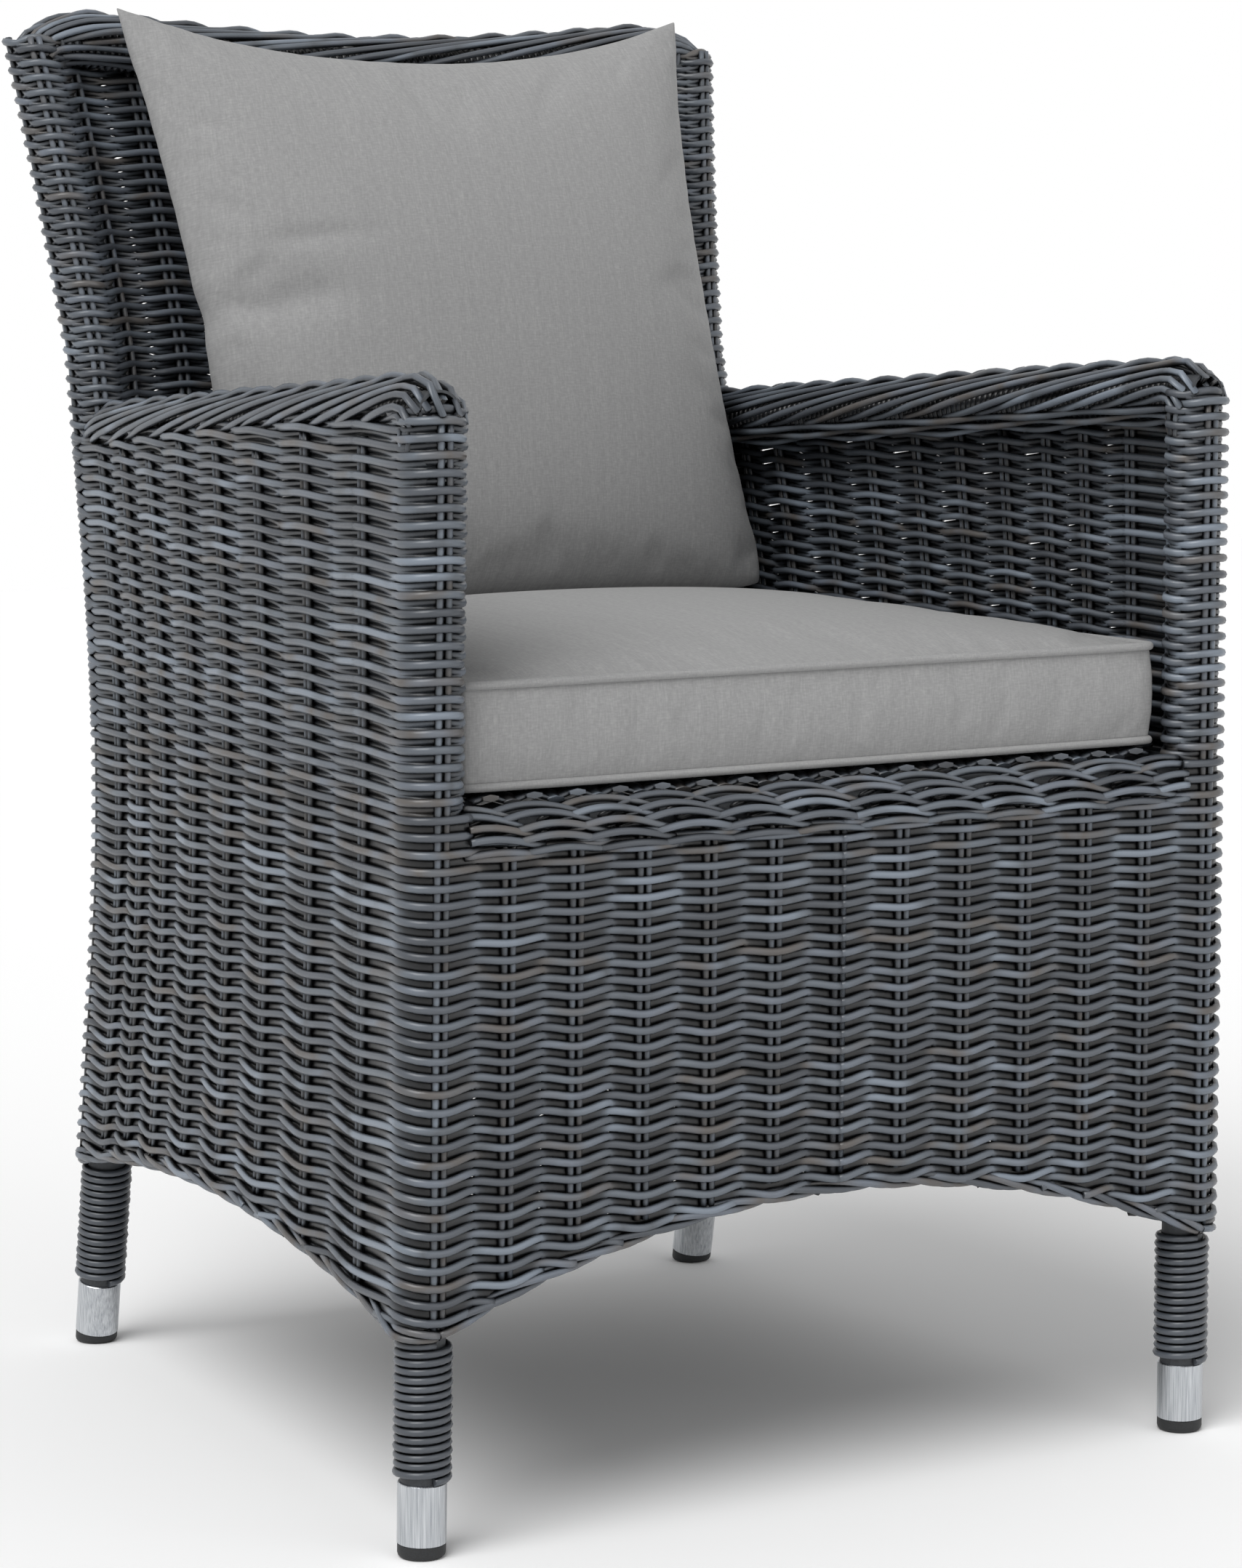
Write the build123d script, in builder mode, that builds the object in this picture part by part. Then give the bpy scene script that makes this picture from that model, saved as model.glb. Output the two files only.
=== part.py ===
from build123d import *
import os
from math import cos, pi, radians, sin, sqrt, tan

os.makedirs("parts", exist_ok=True)

# Woven dining armchair with loose cushions.
# Millimetres and degrees. +Z is up and the front faces -Y.
# The origin is on the floor under the middle of the chair's box.

# Frame tubes
POST_D = 25.4
TUBE_WALL = 1.6
RAIL_D = 19.0
ROD_D = 8.0
WELD_GAP = 0.2

# Legs and back hoop, given at the axes of the tubes
FRONT_HALF = 268.5
REAR_HALF = 235.5
LEG_DEPTH = 546.0
FEET_AHEAD = 12.3
POST_LEAN = 7.0
LEAN_IN = 7.0
SPLAY = 10.5
RECLINE = 13.3
KNEE_Z = 403.0
KNEE_RADIUS = 690.0
FLARE_Z = 668.0
FLARE_RADIUS = 300.0
CORNER_HALF = 249.5
CORNER_Z = 875.0
CORNER_RADIUS = 30.0
CORNER_STRAIGHT = 6.0
TOP_DIP = 26.0
TOP_RADIUS = 1700.0

# Arms and seat
ARM_FRONT_Z = 650.0
ARM_REAR_Z = 613.0
SEAT_Z = 418.0
CROSS_BARS = 2

# Leg ends
CAP_D = 28.0
CAP_H = 8.0
CAP_ROUND = 3.0
CAP_STEPS = 3
PLUG_L = 20.0
PLUG_RIBS = 3
PLUG_RIB_H = 3.0
PLUG_RIB_DEPTH = 1.5
PLUG_CLEARANCE = 0.15
FERRULE_WALL = 1.45
FERRULE_L = 36.0
FERRULE_CLEARANCE = 0.1
FERRULE_EDGE = 0.5

# Wound strand round each ankle
STRAND_D = 4.6
STRAND_SIDES = 5
WRAP_TURNS = 14
WRAP_PITCH = 5.2

# Woven skin
SKIN_GAP = 0.3
SKIN_T = 8.0
COVER_R = 20.5
HEM_R = 5.0
HEM_Z = 133.0
FRONT_RISE = 56.0
SIDE_RISE = 30.0
REAR_RISE = 45.0
DECK_T = 8.0
ARM_NOSE = 7.0
ARM_NOSE_ROUND = 6.0

# Pairs of stakes that stand out under the weave
STAKE_D = 9.6
STAKE_PROUD = 2.5
FRONT_STAKES = 11
SIDE_STAKES = 9
BACK_STAKES = 9

# Seat cushion
SEAT_SIDE_GAP = 1.5
SEAT_SETBACK = 6.0
SEAT_REAR_GAP = 8.0
SEAT_LIFT = 0.5
SEAT_UNDER = 4.5
BOXING = 54.0
SEAT_CROWN = 22.0
SEAT_CORNER = 6.0
SEAT_SOFTEN = 30.0
SEAT_DRAW = 4.0

# Back cushion, corner to corner
PILLOW_W = 420.0
PILLOW_H = 405.0
PILLOW_T = 128.0
PILLOW_SIDE_DRAW = 22.0
PILLOW_TOP_DRAW = 29.0
PILLOW_FOOT_DRAW = 16.0
PILLOW_GAP = 0.5
PILLOW_REST = 1.5

# Shares of a cushion's outline that its crown is lofted through
CROWN_SHARES = (1.0, 0.85, 0.65, 0.42, 0.18)

post_r = POST_D / 2
post_bore = post_r - TUBE_WALL
rail_r = RAIL_D / 2
rail_bore = rail_r - TUBE_WALL
post_trim = post_r + WELD_GAP
rail_trim = rail_r + WELD_GAP
cover_trim = COVER_R + SKIN_GAP
skin_inner = rail_r + SKIN_GAP
skin_middle = skin_inner + SKIN_T / 2
stake_middle = skin_inner + SKIN_T + STAKE_PROUD - STAKE_D / 2
stake_foot = HEM_R + SKIN_GAP
front_y = -LEG_DEPTH / 2 - FEET_AHEAD
rear_y = front_y + LEG_DEPTH
ankle_top = CAP_H + FERRULE_L
wrap_base = ankle_top + SKIN_GAP + STRAND_D / 2
wrap_top = wrap_base + WRAP_TURNS * WRAP_PITCH
cover_base = wrap_top + STRAND_D / 2 + SKIN_GAP


def side_half(y, z):
    """Half-width of the plane that a front leg and a rear leg share, at depth y and height z."""
    foot_half = FRONT_HALF + (REAR_HALF - FRONT_HALF) * (y - front_y) / LEG_DEPTH
    return foot_half - LEAN_IN * z / ARM_FRONT_Z


def side_point(y, z):
    """A point of the left side plane."""
    return Vector(-side_half(y, z), y, z)


def front_depth(z):
    """Depth of the front posts' axes at height z."""
    return front_y - POST_LEAN * z / ARM_FRONT_Z


def rear_depth(z):
    """Depth of the rear legs' straight runs at height z, before the knee is rounded."""
    if z < KNEE_Z:
        return rear_y - z * tan(radians(SPLAY))
    return rear_y - KNEE_Z * tan(radians(SPLAY)) + (z - KNEE_Z) * tan(radians(RECLINE))


def mirrored(point):
    return Vector(-point.X, point.Y, point.Z)


def straight_bar(start, end, radius, bore=0, trims=()):
    """A round bar or tube between two points, cut by the given trims."""
    with BuildPart() as bar:
        with BuildSketch(Plane(origin=start, z_dir=end - start)):
            Circle(radius)
            if bore:
                Circle(bore, mode=Mode.SUBTRACT)
        extrude(amount=(end - start).length)
        for trim in trims:
            add(trim, mode=Mode.SUBTRACT)
    return bar.part


def bent_bar(points, bends, radius, bore=0, trims=()):
    """A round bar or tube along straight runs with rounded corners, cut by the given trims."""
    with BuildPart() as bar:
        with BuildLine() as path:
            FilletPolyline(*points, radius=bends)
        with BuildSketch(Plane(origin=path.line @ 0, z_dir=path.line % 0)):
            Circle(radius)
            if bore:
                Circle(bore, mode=Mode.SUBTRACT)
        sweep()
        for trim in trims:
            add(trim, mode=Mode.SUBTRACT)
    return bar.part


def arched_bar(arch, radius, trims=()):
    """A round bar along one arc through three points, cut by the given trims."""
    with BuildPart() as bar:
        with BuildLine() as path:
            ThreePointArc(*arch)
        with BuildSketch(Plane(origin=path.line @ 0, z_dir=path.line % 0)):
            Circle(radius)
        sweep()
        for trim in trims:
            add(trim, mode=Mode.SUBTRACT)
    return bar.part


def both_sides(part):
    """The left piece and its mirror image."""
    return [part, mirror(part, about=Plane.YZ)]


def save(part, name):
    part.label = name
    export_step(part, f"parts/{name}.step")


def save_pair(part, name):
    """Writes a left piece and its mirror image on the right."""
    save(part, f"{name}_left")
    save(mirror(part, about=Plane.YZ), f"{name}_right")


# Axes of the frame, left side
front_foot = side_point(front_y, 0)
front_head = side_point(front_depth(ARM_FRONT_Z), ARM_FRONT_Z)
front_plane = Plane(origin=front_foot, z_dir=front_head - front_foot)
rear_foot = side_point(rear_y, 0)
knee = side_point(rear_depth(KNEE_Z), KNEE_Z)
flare = side_point(rear_depth(FLARE_Z), FLARE_Z)
corner = Vector(-CORNER_HALF, rear_depth(CORNER_Z), CORNER_Z)
top_middle = Vector(0, rear_depth(CORNER_Z - TOP_DIP), CORNER_Z - TOP_DIP)
rear_plane = Plane(origin=rear_foot, z_dir=knee - rear_foot)
post_up = (corner - flare).normalized()
corner_turn = post_up.get_angle(top_middle - corner)
corner_setback = CORNER_RADIUS * tan(radians(corner_turn / 2)) + CORNER_STRAIGHT
rear_top = corner - post_up * corner_setback
rear_bends = [KNEE_RADIUS, FLARE_RADIUS]
top_run = [rear_top, corner, top_middle, mirrored(corner), mirrored(rear_top)]
top_bends = [CORNER_RADIUS, TOP_RADIUS, CORNER_RADIUS]

rear_axis = FilletPolyline(rear_foot, knee, flare, rear_top, radius=rear_bends)


def rear_axis_at(z):
    """Where the left rear leg's bent axis passes height z."""
    return rear_axis.intersect(Plane.XY.offset(z)).vertices()[0].center()


arm_rear = rear_axis_at(ARM_REAR_Z)
arm_way = (front_head - arm_rear).normalized()
seat_front = side_point(front_depth(SEAT_Z), SEAT_Z)
seat_rear = rear_axis_at(SEAT_Z)
hem_front = side_point(front_depth(HEM_Z), HEM_Z)
hem_rear = side_point(rear_depth(HEM_Z), HEM_Z)

# Directions that point out of the woven walls
front_out = Vector(0, -ARM_FRONT_Z, -POST_LEAN).normalized()
side_out = Vector(-1, (FRONT_HALF - REAR_HALF) / LEG_DEPTH, LEAN_IN / ARM_FRONT_Z).normalized()
rear_out = Vector(0, cos(radians(SPLAY)), sin(radians(SPLAY)))

front_crest_z = HEM_Z + FRONT_RISE
side_crest_z = HEM_Z + SIDE_RISE
rear_crest_z = HEM_Z + REAR_RISE
front_arch = [hem_front, Vector(0, front_depth(front_crest_z), front_crest_z), mirrored(hem_front)]
side_arch = [hem_front, side_point((hem_front.Y + hem_rear.Y) / 2, side_crest_z), hem_rear]
rear_arch = [hem_rear, Vector(0, rear_depth(rear_crest_z), rear_crest_z), mirrored(hem_rear)]


def shifted(points, way, distance):
    return [point + way * distance for point in points]


front_hem_arch = shifted(front_arch, front_out, skin_middle)
side_hem_arch = shifted(side_arch, side_out, skin_middle)
rear_hem_arch = shifted(rear_arch, rear_out, skin_middle)

# Bars that trim the pieces meeting the frame and its woven covers
arm_ahead = front_head + arm_way * cover_trim
rear_run = [rear_foot, knee, flare, rear_top]
front_post_bar = straight_bar(front_foot, front_head, post_trim)
front_hole_bar = straight_bar(front_foot, front_head, post_r + SKIN_GAP)
front_cover_bar = straight_bar(front_foot, front_head, cover_trim)
rear_post_bar = bent_bar(rear_run, rear_bends, post_trim)
rear_cover_bar = bent_bar(rear_run, rear_bends, cover_trim)
top_cover_bar = bent_bar(top_run, top_bends, cover_trim)
arm_bar = straight_bar(arm_ahead, arm_rear, post_trim)
arm_cover_bar = straight_bar(arm_ahead, arm_rear, cover_trim)
seat_side_bar = straight_bar(seat_front, seat_rear, rail_trim)
seat_front_bar = straight_bar(seat_front, mirrored(seat_front), rail_trim)
seat_rear_bar = straight_bar(seat_rear, mirrored(seat_rear), rail_trim)
seat_cover_bar = straight_bar(seat_front, mirrored(seat_front), cover_trim)
front_hem_bar = arched_bar(front_hem_arch, HEM_R + SKIN_GAP)
side_hem_bar = arched_bar(side_hem_arch, HEM_R + SKIN_GAP)
rear_hem_bar = arched_bar(rear_hem_arch, HEM_R + SKIN_GAP)
rear_stake_bar = arched_bar(rear_hem_arch, stake_foot + STAKE_PROUD)
top_stake_bar = bent_bar(top_run, top_bends, cover_trim + STAKE_PROUD)

# Holes that the rails and hem rods pass through in the woven covers
rail_hole = rail_r + SKIN_GAP
rod_hole = ROD_D / 2 + SKIN_GAP
arm_hole_bar = straight_bar(arm_ahead, arm_rear, post_r + SKIN_GAP)
seat_side_hole_bar = straight_bar(seat_front, seat_rear, rail_hole)
seat_front_hole_bar = straight_bar(seat_front, mirrored(seat_front), rail_hole)
seat_rear_hole_bar = straight_bar(seat_rear, mirrored(seat_rear), rail_hole)
front_rod_hole_bar = arched_bar(front_arch, rod_hole)
side_rod_hole_bar = arched_bar(side_arch, rod_hole)
rear_rod_hole_bar = arched_bar(rear_arch, rod_hole)

# Front legs: straight tubes from the foot cap to a saddle under the arm rail
front_tube_foot = front_foot + front_plane.z_dir * CAP_H
front_leg = straight_bar(front_tube_foot, front_head, post_r, post_bore, [arm_bar])
save_pair(front_leg, "front_leg")

# Rear legs: tubes bent at the knee and flared out towards the top of the back
rear_tube_foot = rear_foot + rear_plane.z_dir * CAP_H
rear_leg = bent_bar([rear_tube_foot, knee, flare, rear_top], rear_bends, post_r, post_bore)
save_pair(rear_leg, "rear_leg")

# Back top rail: butts on the rear legs, turns both corners and dips in the middle
back_top_rail = bent_bar(top_run, top_bends, post_r, post_bore)
save(back_top_rail, "back_top_rail")

# Arm rails: sit on the front legs and are coped to the rear legs
arm_front = front_head + arm_way * post_r
arm_rail = straight_bar(arm_front, arm_rear, post_r, post_bore, [rear_post_bar])
save_pair(arm_rail, "arm_rail")

# Seat rails, coped to the legs, and the cross bars between them
front_ends = both_sides(front_post_bar)
rear_ends = both_sides(rear_post_bar)
save(straight_bar(seat_front, mirrored(seat_front), rail_r, rail_bore, front_ends), "seat_front_rail")
save(straight_bar(seat_rear, mirrored(seat_rear), rail_r, rail_bore, rear_ends), "seat_rear_rail")
side_ends = [front_post_bar, rear_post_bar]
rail_ends = [*side_ends, seat_front_bar, seat_rear_bar]
save_pair(straight_bar(seat_front, seat_rear, rail_r, rail_bore, rail_ends), "seat_rail")
for count in range(1, CROSS_BARS + 1):
    bar_end = seat_front + (seat_rear - seat_front) * (count / (CROSS_BARS + 1))
    bar_trims = both_sides(seat_side_bar)
    cross_bar = straight_bar(bar_end, mirrored(bar_end), rail_r, rail_bore, bar_trims)
    save(cross_bar, f"seat_cross_bar_{count}")

# Hem rods: arched between the legs, inside the lower edge of the weave
save(arched_bar(front_arch, ROD_D / 2, front_ends), "front_hem_rod")
save(arched_bar(rear_arch, ROD_D / 2, rear_ends), "rear_hem_rod")
save_pair(arched_bar(side_arch, ROD_D / 2, side_ends), "hem_rod")


def foot_cap(leg_plane):
    """A cap whose ribbed plug fills the tube and whose rounded foot lies flat on the floor."""
    plug_r = post_bore - PLUG_CLEARANCE
    rib_pitch = PLUG_L / PLUG_RIBS
    axis = leg_plane.z_dir
    with BuildPart() as cap:
        for step in range(CAP_STEPS + 1):
            angle = radians(90 * step / CAP_STEPS)
            rise = CAP_ROUND * (1 - cos(angle))
            centre = leg_plane.origin + axis * (rise / axis.Z)
            with BuildSketch(Plane(origin=centre)):
                Circle(CAP_D / 2 - CAP_ROUND * (1 - sin(angle)))
        with BuildSketch(leg_plane.offset(CAP_H)):
            Circle(CAP_D / 2)
        loft(ruled=True)
        with BuildSketch(leg_plane.offset(CAP_H)):
            Circle(plug_r - PLUG_RIB_DEPTH)
        extrude(amount=PLUG_L)
        for rib in range(PLUG_RIBS):
            with BuildSketch(leg_plane.offset(CAP_H + rib * rib_pitch)):
                Circle(plug_r)
            extrude(amount=PLUG_RIB_H)
    return cap.part


def ferrule(leg_plane):
    """A bright sleeve over the end of the tube, standing on the foot cap."""
    bore = post_r + FERRULE_CLEARANCE
    with BuildPart() as sleeve:
        with BuildSketch(leg_plane.offset(CAP_H)):
            Circle(bore + FERRULE_WALL)
            Circle(bore, mode=Mode.SUBTRACT)
        extrude(amount=FERRULE_L)
        rims = sleeve.edges().filter_by(GeomType.CIRCLE).group_by(SortBy.RADIUS)[-1]
        chamfer(rims, FERRULE_EDGE)
    return sleeve.part


def helix_point(turn, radius):
    angle = 2 * pi * turn
    return Vector(radius * cos(angle), radius * sin(angle), wrap_base + WRAP_PITCH * turn)


def helix_way(turn, radius):
    angle = 2 * pi * turn
    return Vector(-radius * sin(angle), radius * cos(angle), WRAP_PITCH / (2 * pi)).normalized()


def biarc_joint(start, start_way, end, end_way):
    """Meeting point and direction of two arcs that leave start along start_way and reach end along end_way.

    Both arcs have the same tangent length d, which solves |end - start - d (start_way + end_way)| = 2 d.
    """
    chord = end - start
    ways = start_way + end_way
    square = 4 - ways.dot(ways)
    across = chord.dot(ways)
    length = (sqrt(across * across + square * chord.dot(chord)) - across) / square
    near = start + start_way * length
    far = end - end_way * length
    return (near + far) * 0.5, far - near


def leg_wrap():
    """One strand wound round an upright leg: half-turn biarcs between two short straight ends."""
    radius = post_r + SKIN_GAP + STRAND_D / 2
    half_turns = 2 * WRAP_TURNS
    with BuildPart() as wrap:
        with BuildLine() as strand:
            first, first_way = helix_point(0, radius), helix_way(0, radius)
            Line(first - first_way * STRAND_D, first)
            for half in range(half_turns):
                start, end = helix_point(half / 2, radius), helix_point(half / 2 + 0.5, radius)
                start_way, end_way = helix_way(half / 2, radius), helix_way(half / 2 + 0.5, radius)
                joint, joint_way = biarc_joint(start, start_way, end, end_way)
                TangentArc(start, joint, tangent=start_way)
                TangentArc(joint, end, tangent=joint_way)
            Line(end, end + end_way * STRAND_D)
        with BuildSketch(Plane(origin=strand.line @ 0, z_dir=strand.line % 0)):
            RegularPolygon(radius=STRAND_D / 2, side_count=STRAND_SIDES)
        sweep()
    return wrap.part


def least_wrap_gap():
    """Least clear distance between points of the winding that are half a turn or more apart."""
    radius = post_r + SKIN_GAP + STRAND_D / 2
    steps = 24
    points = [helix_point(step / steps, radius) for step in range(WRAP_TURNS * steps + 1)]
    apart = [
        (points[a] - points[b]).length
        for a in range(len(points))
        for b in range(a + steps // 2, min(a + 2 * steps, len(points)))
    ]
    return min(apart) - STRAND_D


# Leg ends
upright_wrap = leg_wrap()
print("least gap between the turns of a leg wrap, mm:", round(least_wrap_gap(), 2))
for place, leg_plane in (("front", front_plane), ("rear", rear_plane)):
    save_pair(foot_cap(leg_plane), f"foot_cap_{place}")
    save_pair(ferrule(leg_plane), f"leg_ferrule_{place}")
    save_pair(leg_plane.location * upright_wrap, f"leg_wrap_{place}")

# Woven covers round the posts, from the leg wraps up
front_cover_foot = front_foot + front_plane.z_dir * cover_base
front_cover_trims = [
    arm_cover_bar,
    seat_front_hole_bar,
    seat_side_hole_bar,
    front_rod_hole_bar,
    side_rod_hole_bar,
]
cover_bore = post_r + SKIN_GAP
front_cover = straight_bar(front_cover_foot, front_head, COVER_R, cover_bore, front_cover_trims)
save_pair(front_cover, "front_post_cover")

rear_cover_foot = rear_foot + rear_plane.z_dir * cover_base
rear_cover_run = [rear_cover_foot, knee, flare, rear_top]
rear_cover_trims = [
    arm_hole_bar,
    seat_rear_hole_bar,
    seat_side_hole_bar,
    rear_rod_hole_bar,
    side_rod_hole_bar,
]
rear_cover = bent_bar(rear_cover_run, rear_bends, COVER_R, cover_bore, rear_cover_trims)
save_pair(rear_cover, "rear_post_cover")

# Plaited borders over the rails
save(bent_bar(top_run, top_bends, COVER_R, cover_bore), "back_top_border")
seat_border_trims = [*both_sides(front_cover_bar), *both_sides(seat_side_hole_bar)]
seat_border = straight_bar(seat_front, mirrored(seat_front), COVER_R, rail_hole, seat_border_trims)
save(seat_border, "seat_front_border")

arm_nose = arm_front + arm_way * (SKIN_GAP + ARM_NOSE)
with BuildPart() as arm_border:
    with BuildSketch(Plane(origin=arm_nose, z_dir=-arm_way)):
        Circle(COVER_R)
    extrude(amount=(arm_rear - arm_nose).length)
    fillet(arm_border.edges().sort_by(Axis.Y)[0], ARM_NOSE_ROUND)
    with BuildSketch(Plane(origin=arm_front + arm_way * SKIN_GAP, z_dir=-arm_way)):
        Circle(cover_bore)
    extrude(amount=(arm_rear - arm_nose).length, mode=Mode.SUBTRACT)
    for trim in [front_hole_bar, rear_cover_bar]:
        add(trim, mode=Mode.SUBTRACT)
save_pair(arm_border.part, "arm_border")

# Hem borders along the lower edges of the weave
save(arched_bar(front_hem_arch, HEM_R, both_sides(front_cover_bar)), "front_hem_border")
save(arched_bar(rear_hem_arch, HEM_R, both_sides(rear_cover_bar)), "rear_hem_border")
save_pair(arched_bar(side_hem_arch, HEM_R, [front_cover_bar, rear_cover_bar]), "hem_border")


def flat(wall, points):
    """Points of a wall in the wall's own two directions."""
    return [wall.to_local_coords(point) for point in points]


def wall_stakes(count, arch, start, end, way):
    """Evenly spaced stakes on a flat wall, from its hem's arch up to the line from start to end."""
    hem_line = ThreePointArc(*arch)
    stakes = []
    for number in range(1, count + 1):
        share = number / (count + 1)
        foot = hem_line @ share + Vector(0, 0, stake_foot)
        head = start + (end - start) * share
        stakes.append(straight_bar(*shifted([foot, head], way, stake_middle), STAKE_D / 2))
    return stakes


# Woven walls: drawn to the axes that frame them, then trimmed to the covers, borders and hems
front_wall = Plane(origin=(0, front_y, 0), x_dir=(1, 0, 0), z_dir=front_out)
with BuildPart() as front_panel:
    with BuildSketch(front_wall.offset(skin_inner)):
        with BuildLine():
            ThreePointArc(*flat(front_wall, front_arch))
            Polyline(*flat(front_wall, [hem_front, seat_front, mirrored(seat_front), mirrored(hem_front)]))
        make_face()
    extrude(amount=SKIN_T)
    add(wall_stakes(FRONT_STAKES, front_arch, seat_front, mirrored(seat_front), front_out))
    for trim in [*both_sides(front_cover_bar), seat_cover_bar, front_hem_bar]:
        add(trim, mode=Mode.SUBTRACT)
save(front_panel.part, "front_woven_panel")

side_wall = Plane(origin=front_foot, x_dir=rear_foot - front_foot, z_dir=side_out)
with BuildPart() as side_panel:
    with BuildSketch(side_wall.offset(skin_inner)):
        with BuildLine():
            ThreePointArc(*flat(side_wall, side_arch))
            FilletPolyline(*flat(side_wall, [hem_rear, knee, arm_rear]), radius=[KNEE_RADIUS])
            Polyline(*flat(side_wall, [arm_rear, front_head, hem_front]))
        make_face()
    extrude(amount=SKIN_T)
    add(wall_stakes(SIDE_STAKES, side_arch, front_head, arm_rear, side_out))
    for trim in [front_cover_bar, rear_cover_bar, arm_cover_bar, side_hem_bar]:
        add(trim, mode=Mode.SUBTRACT)
save_pair(side_panel.part, "woven_panel")


def rear_corners(distance):
    """Foot, knee and head of the rear legs' bent line, seen from the side and moved back by a distance."""
    half_turn = radians((SPLAY + RECLINE) / 2)
    low_out = Vector(cos(radians(SPLAY)), sin(radians(SPLAY)))
    high_out = Vector(cos(radians(RECLINE)), -sin(radians(RECLINE)))
    knee_out = (low_out + high_out).normalized()
    low = Vector(rear_depth(HEM_Z), HEM_Z) + low_out * distance
    middle = Vector(rear_depth(KNEE_Z), KNEE_Z) + knee_out * (distance / cos(half_turn))
    high = Vector(rear_depth(CORNER_Z), CORNER_Z) + high_out * distance
    return [low, middle, high]


def rear_profile(distance):
    """The rear legs' bent line, seen from the side and moved back by a distance."""
    return FilletPolyline(*rear_corners(distance), radius=[KNEE_RADIUS - distance])


def back_stake(x):
    """A stake of the back: a strip along the rear legs' bent line that stands out behind the weave."""
    with BuildPart() as stake:
        with BuildSketch(Plane.YZ.offset(x)):
            with BuildLine():
                root_line = rear_profile(skin_middle)
                crest_line = rear_profile(skin_inner + SKIN_T + STAKE_PROUD)
                Line(root_line @ 0, crest_line @ 0)
                Line(root_line @ 1, crest_line @ 1)
            make_face()
        extrude(amount=STAKE_D / 2, both=True)
        for trim in [rear_stake_bar, top_stake_bar]:
            add(trim, mode=Mode.SUBTRACT)
    return stake.part


back_outline = [rear_hem_arch[0], knee, flare, corner, top_middle]
back_outline += [mirrored(point) for point in reversed(back_outline[:-1])]
with BuildPart() as back_panel:
    with BuildSketch(Plane.YZ):
        with BuildLine():
            face_line = rear_profile(skin_inner)
            rear_line = rear_profile(skin_inner + SKIN_T)
            Line(face_line @ 0, rear_line @ 0)
            Line(face_line @ 1, rear_line @ 1)
        make_face()
    extrude(amount=CORNER_HALF + COVER_R, both=True)
    for number in range(1, BACK_STAKES + 1):
        add(back_stake(hem_rear.X * (1 - 2 * number / (BACK_STAKES + 1))))
    with BuildSketch(Plane.XZ):
        with BuildLine():
            FilletPolyline(*[(point.X, point.Z) for point in back_outline], radius=[0, 0, *top_bends, 0, 0])
            ThreePointArc(*[(point.X, point.Z) for point in rear_hem_arch])
        make_face()
    extrude(amount=LEG_DEPTH, both=True, mode=Mode.INTERSECT)
    for trim in [*both_sides(rear_cover_bar), top_cover_bar, rear_hem_bar]:
        add(trim, mode=Mode.SUBTRACT)
save(back_panel.part, "back_woven_panel")

deck_base = SEAT_Z + rail_r + SKIN_GAP
with BuildPart() as seat_deck:
    with BuildSketch(Plane.XY.offset(deck_base)):
        with BuildLine():
            deck_corners = [seat_front, mirrored(seat_front), mirrored(seat_rear), seat_rear]
            Polyline(*[(point.X, point.Y) for point in deck_corners], close=True)
        make_face()
    extrude(amount=DECK_T)
    for trim in [*both_sides(front_cover_bar), *both_sides(rear_cover_bar), seat_cover_bar]:
        add(trim, mode=Mode.SUBTRACT)
save(seat_deck.part, "seat_woven_deck")

# Seat cushion: boxed between two seams, crowned on top, sides drawn in between the corners
seat_front_edge = seat_front.Y + SEAT_SETBACK
seat_rear_edge = seat_rear.Y - COVER_R - SEAT_REAR_GAP
seat_middle = (seat_front_edge + seat_rear_edge) / 2
under_z = deck_base + DECK_T + SEAT_LIFT
low_seam_z = under_z + SEAT_UNDER
top_seam_z = low_seam_z + BOXING


def seat_outline(share):
    """The cushion's plan shrunk to a share of its size.

    The sides are drawn in at the seams and swell towards the crown, where the corners soften.
    """
    edges = [seat_front_edge, seat_rear_edge]
    halves = [side_half(edge, ARM_FRONT_Z) - COVER_R - SEAT_SIDE_GAP for edge in edges]
    front, rear = [seat_middle + (edge - seat_middle) * share for edge in edges]
    front_half, rear_half = [half * share for half in halves]
    draw = SEAT_DRAW * (2 * share - 1)
    side = (front_half + rear_half) / 2 - draw
    middle = (front + rear) / 2
    with BuildSketch() as outline:
        with BuildLine():
            ThreePointArc((-front_half, front), (0, front + draw), (front_half, front))
            ThreePointArc((front_half, front), (side, middle), (rear_half, rear))
            ThreePointArc((rear_half, rear), (0, rear - draw), (-rear_half, rear))
            ThreePointArc((-rear_half, rear), (-side, middle), (-front_half, front))
        make_face()
        fillet(outline.vertices(), SEAT_CORNER + SEAT_SOFTEN * (1 - share))
    return outline.sketch


under_share = 1 - 2 * SEAT_UNDER / (seat_rear_edge - seat_front_edge)
with BuildPart() as seat_cushion:
    with BuildSketch(Plane.XY.offset(under_z)):
        add(seat_outline(under_share))
    with BuildSketch(Plane.XY.offset(low_seam_z)):
        add(seat_outline(1))
    loft(ruled=True)
    with BuildSketch(Plane.XY.offset(low_seam_z)):
        add(seat_outline(1))
    extrude(amount=BOXING)
    for share in CROWN_SHARES:
        with BuildSketch(Plane.XY.offset(top_seam_z + SEAT_CROWN * (1 - share**2))):
            add(seat_outline(share))
    loft()
save(seat_cushion.part, "seat_cushion")

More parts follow.
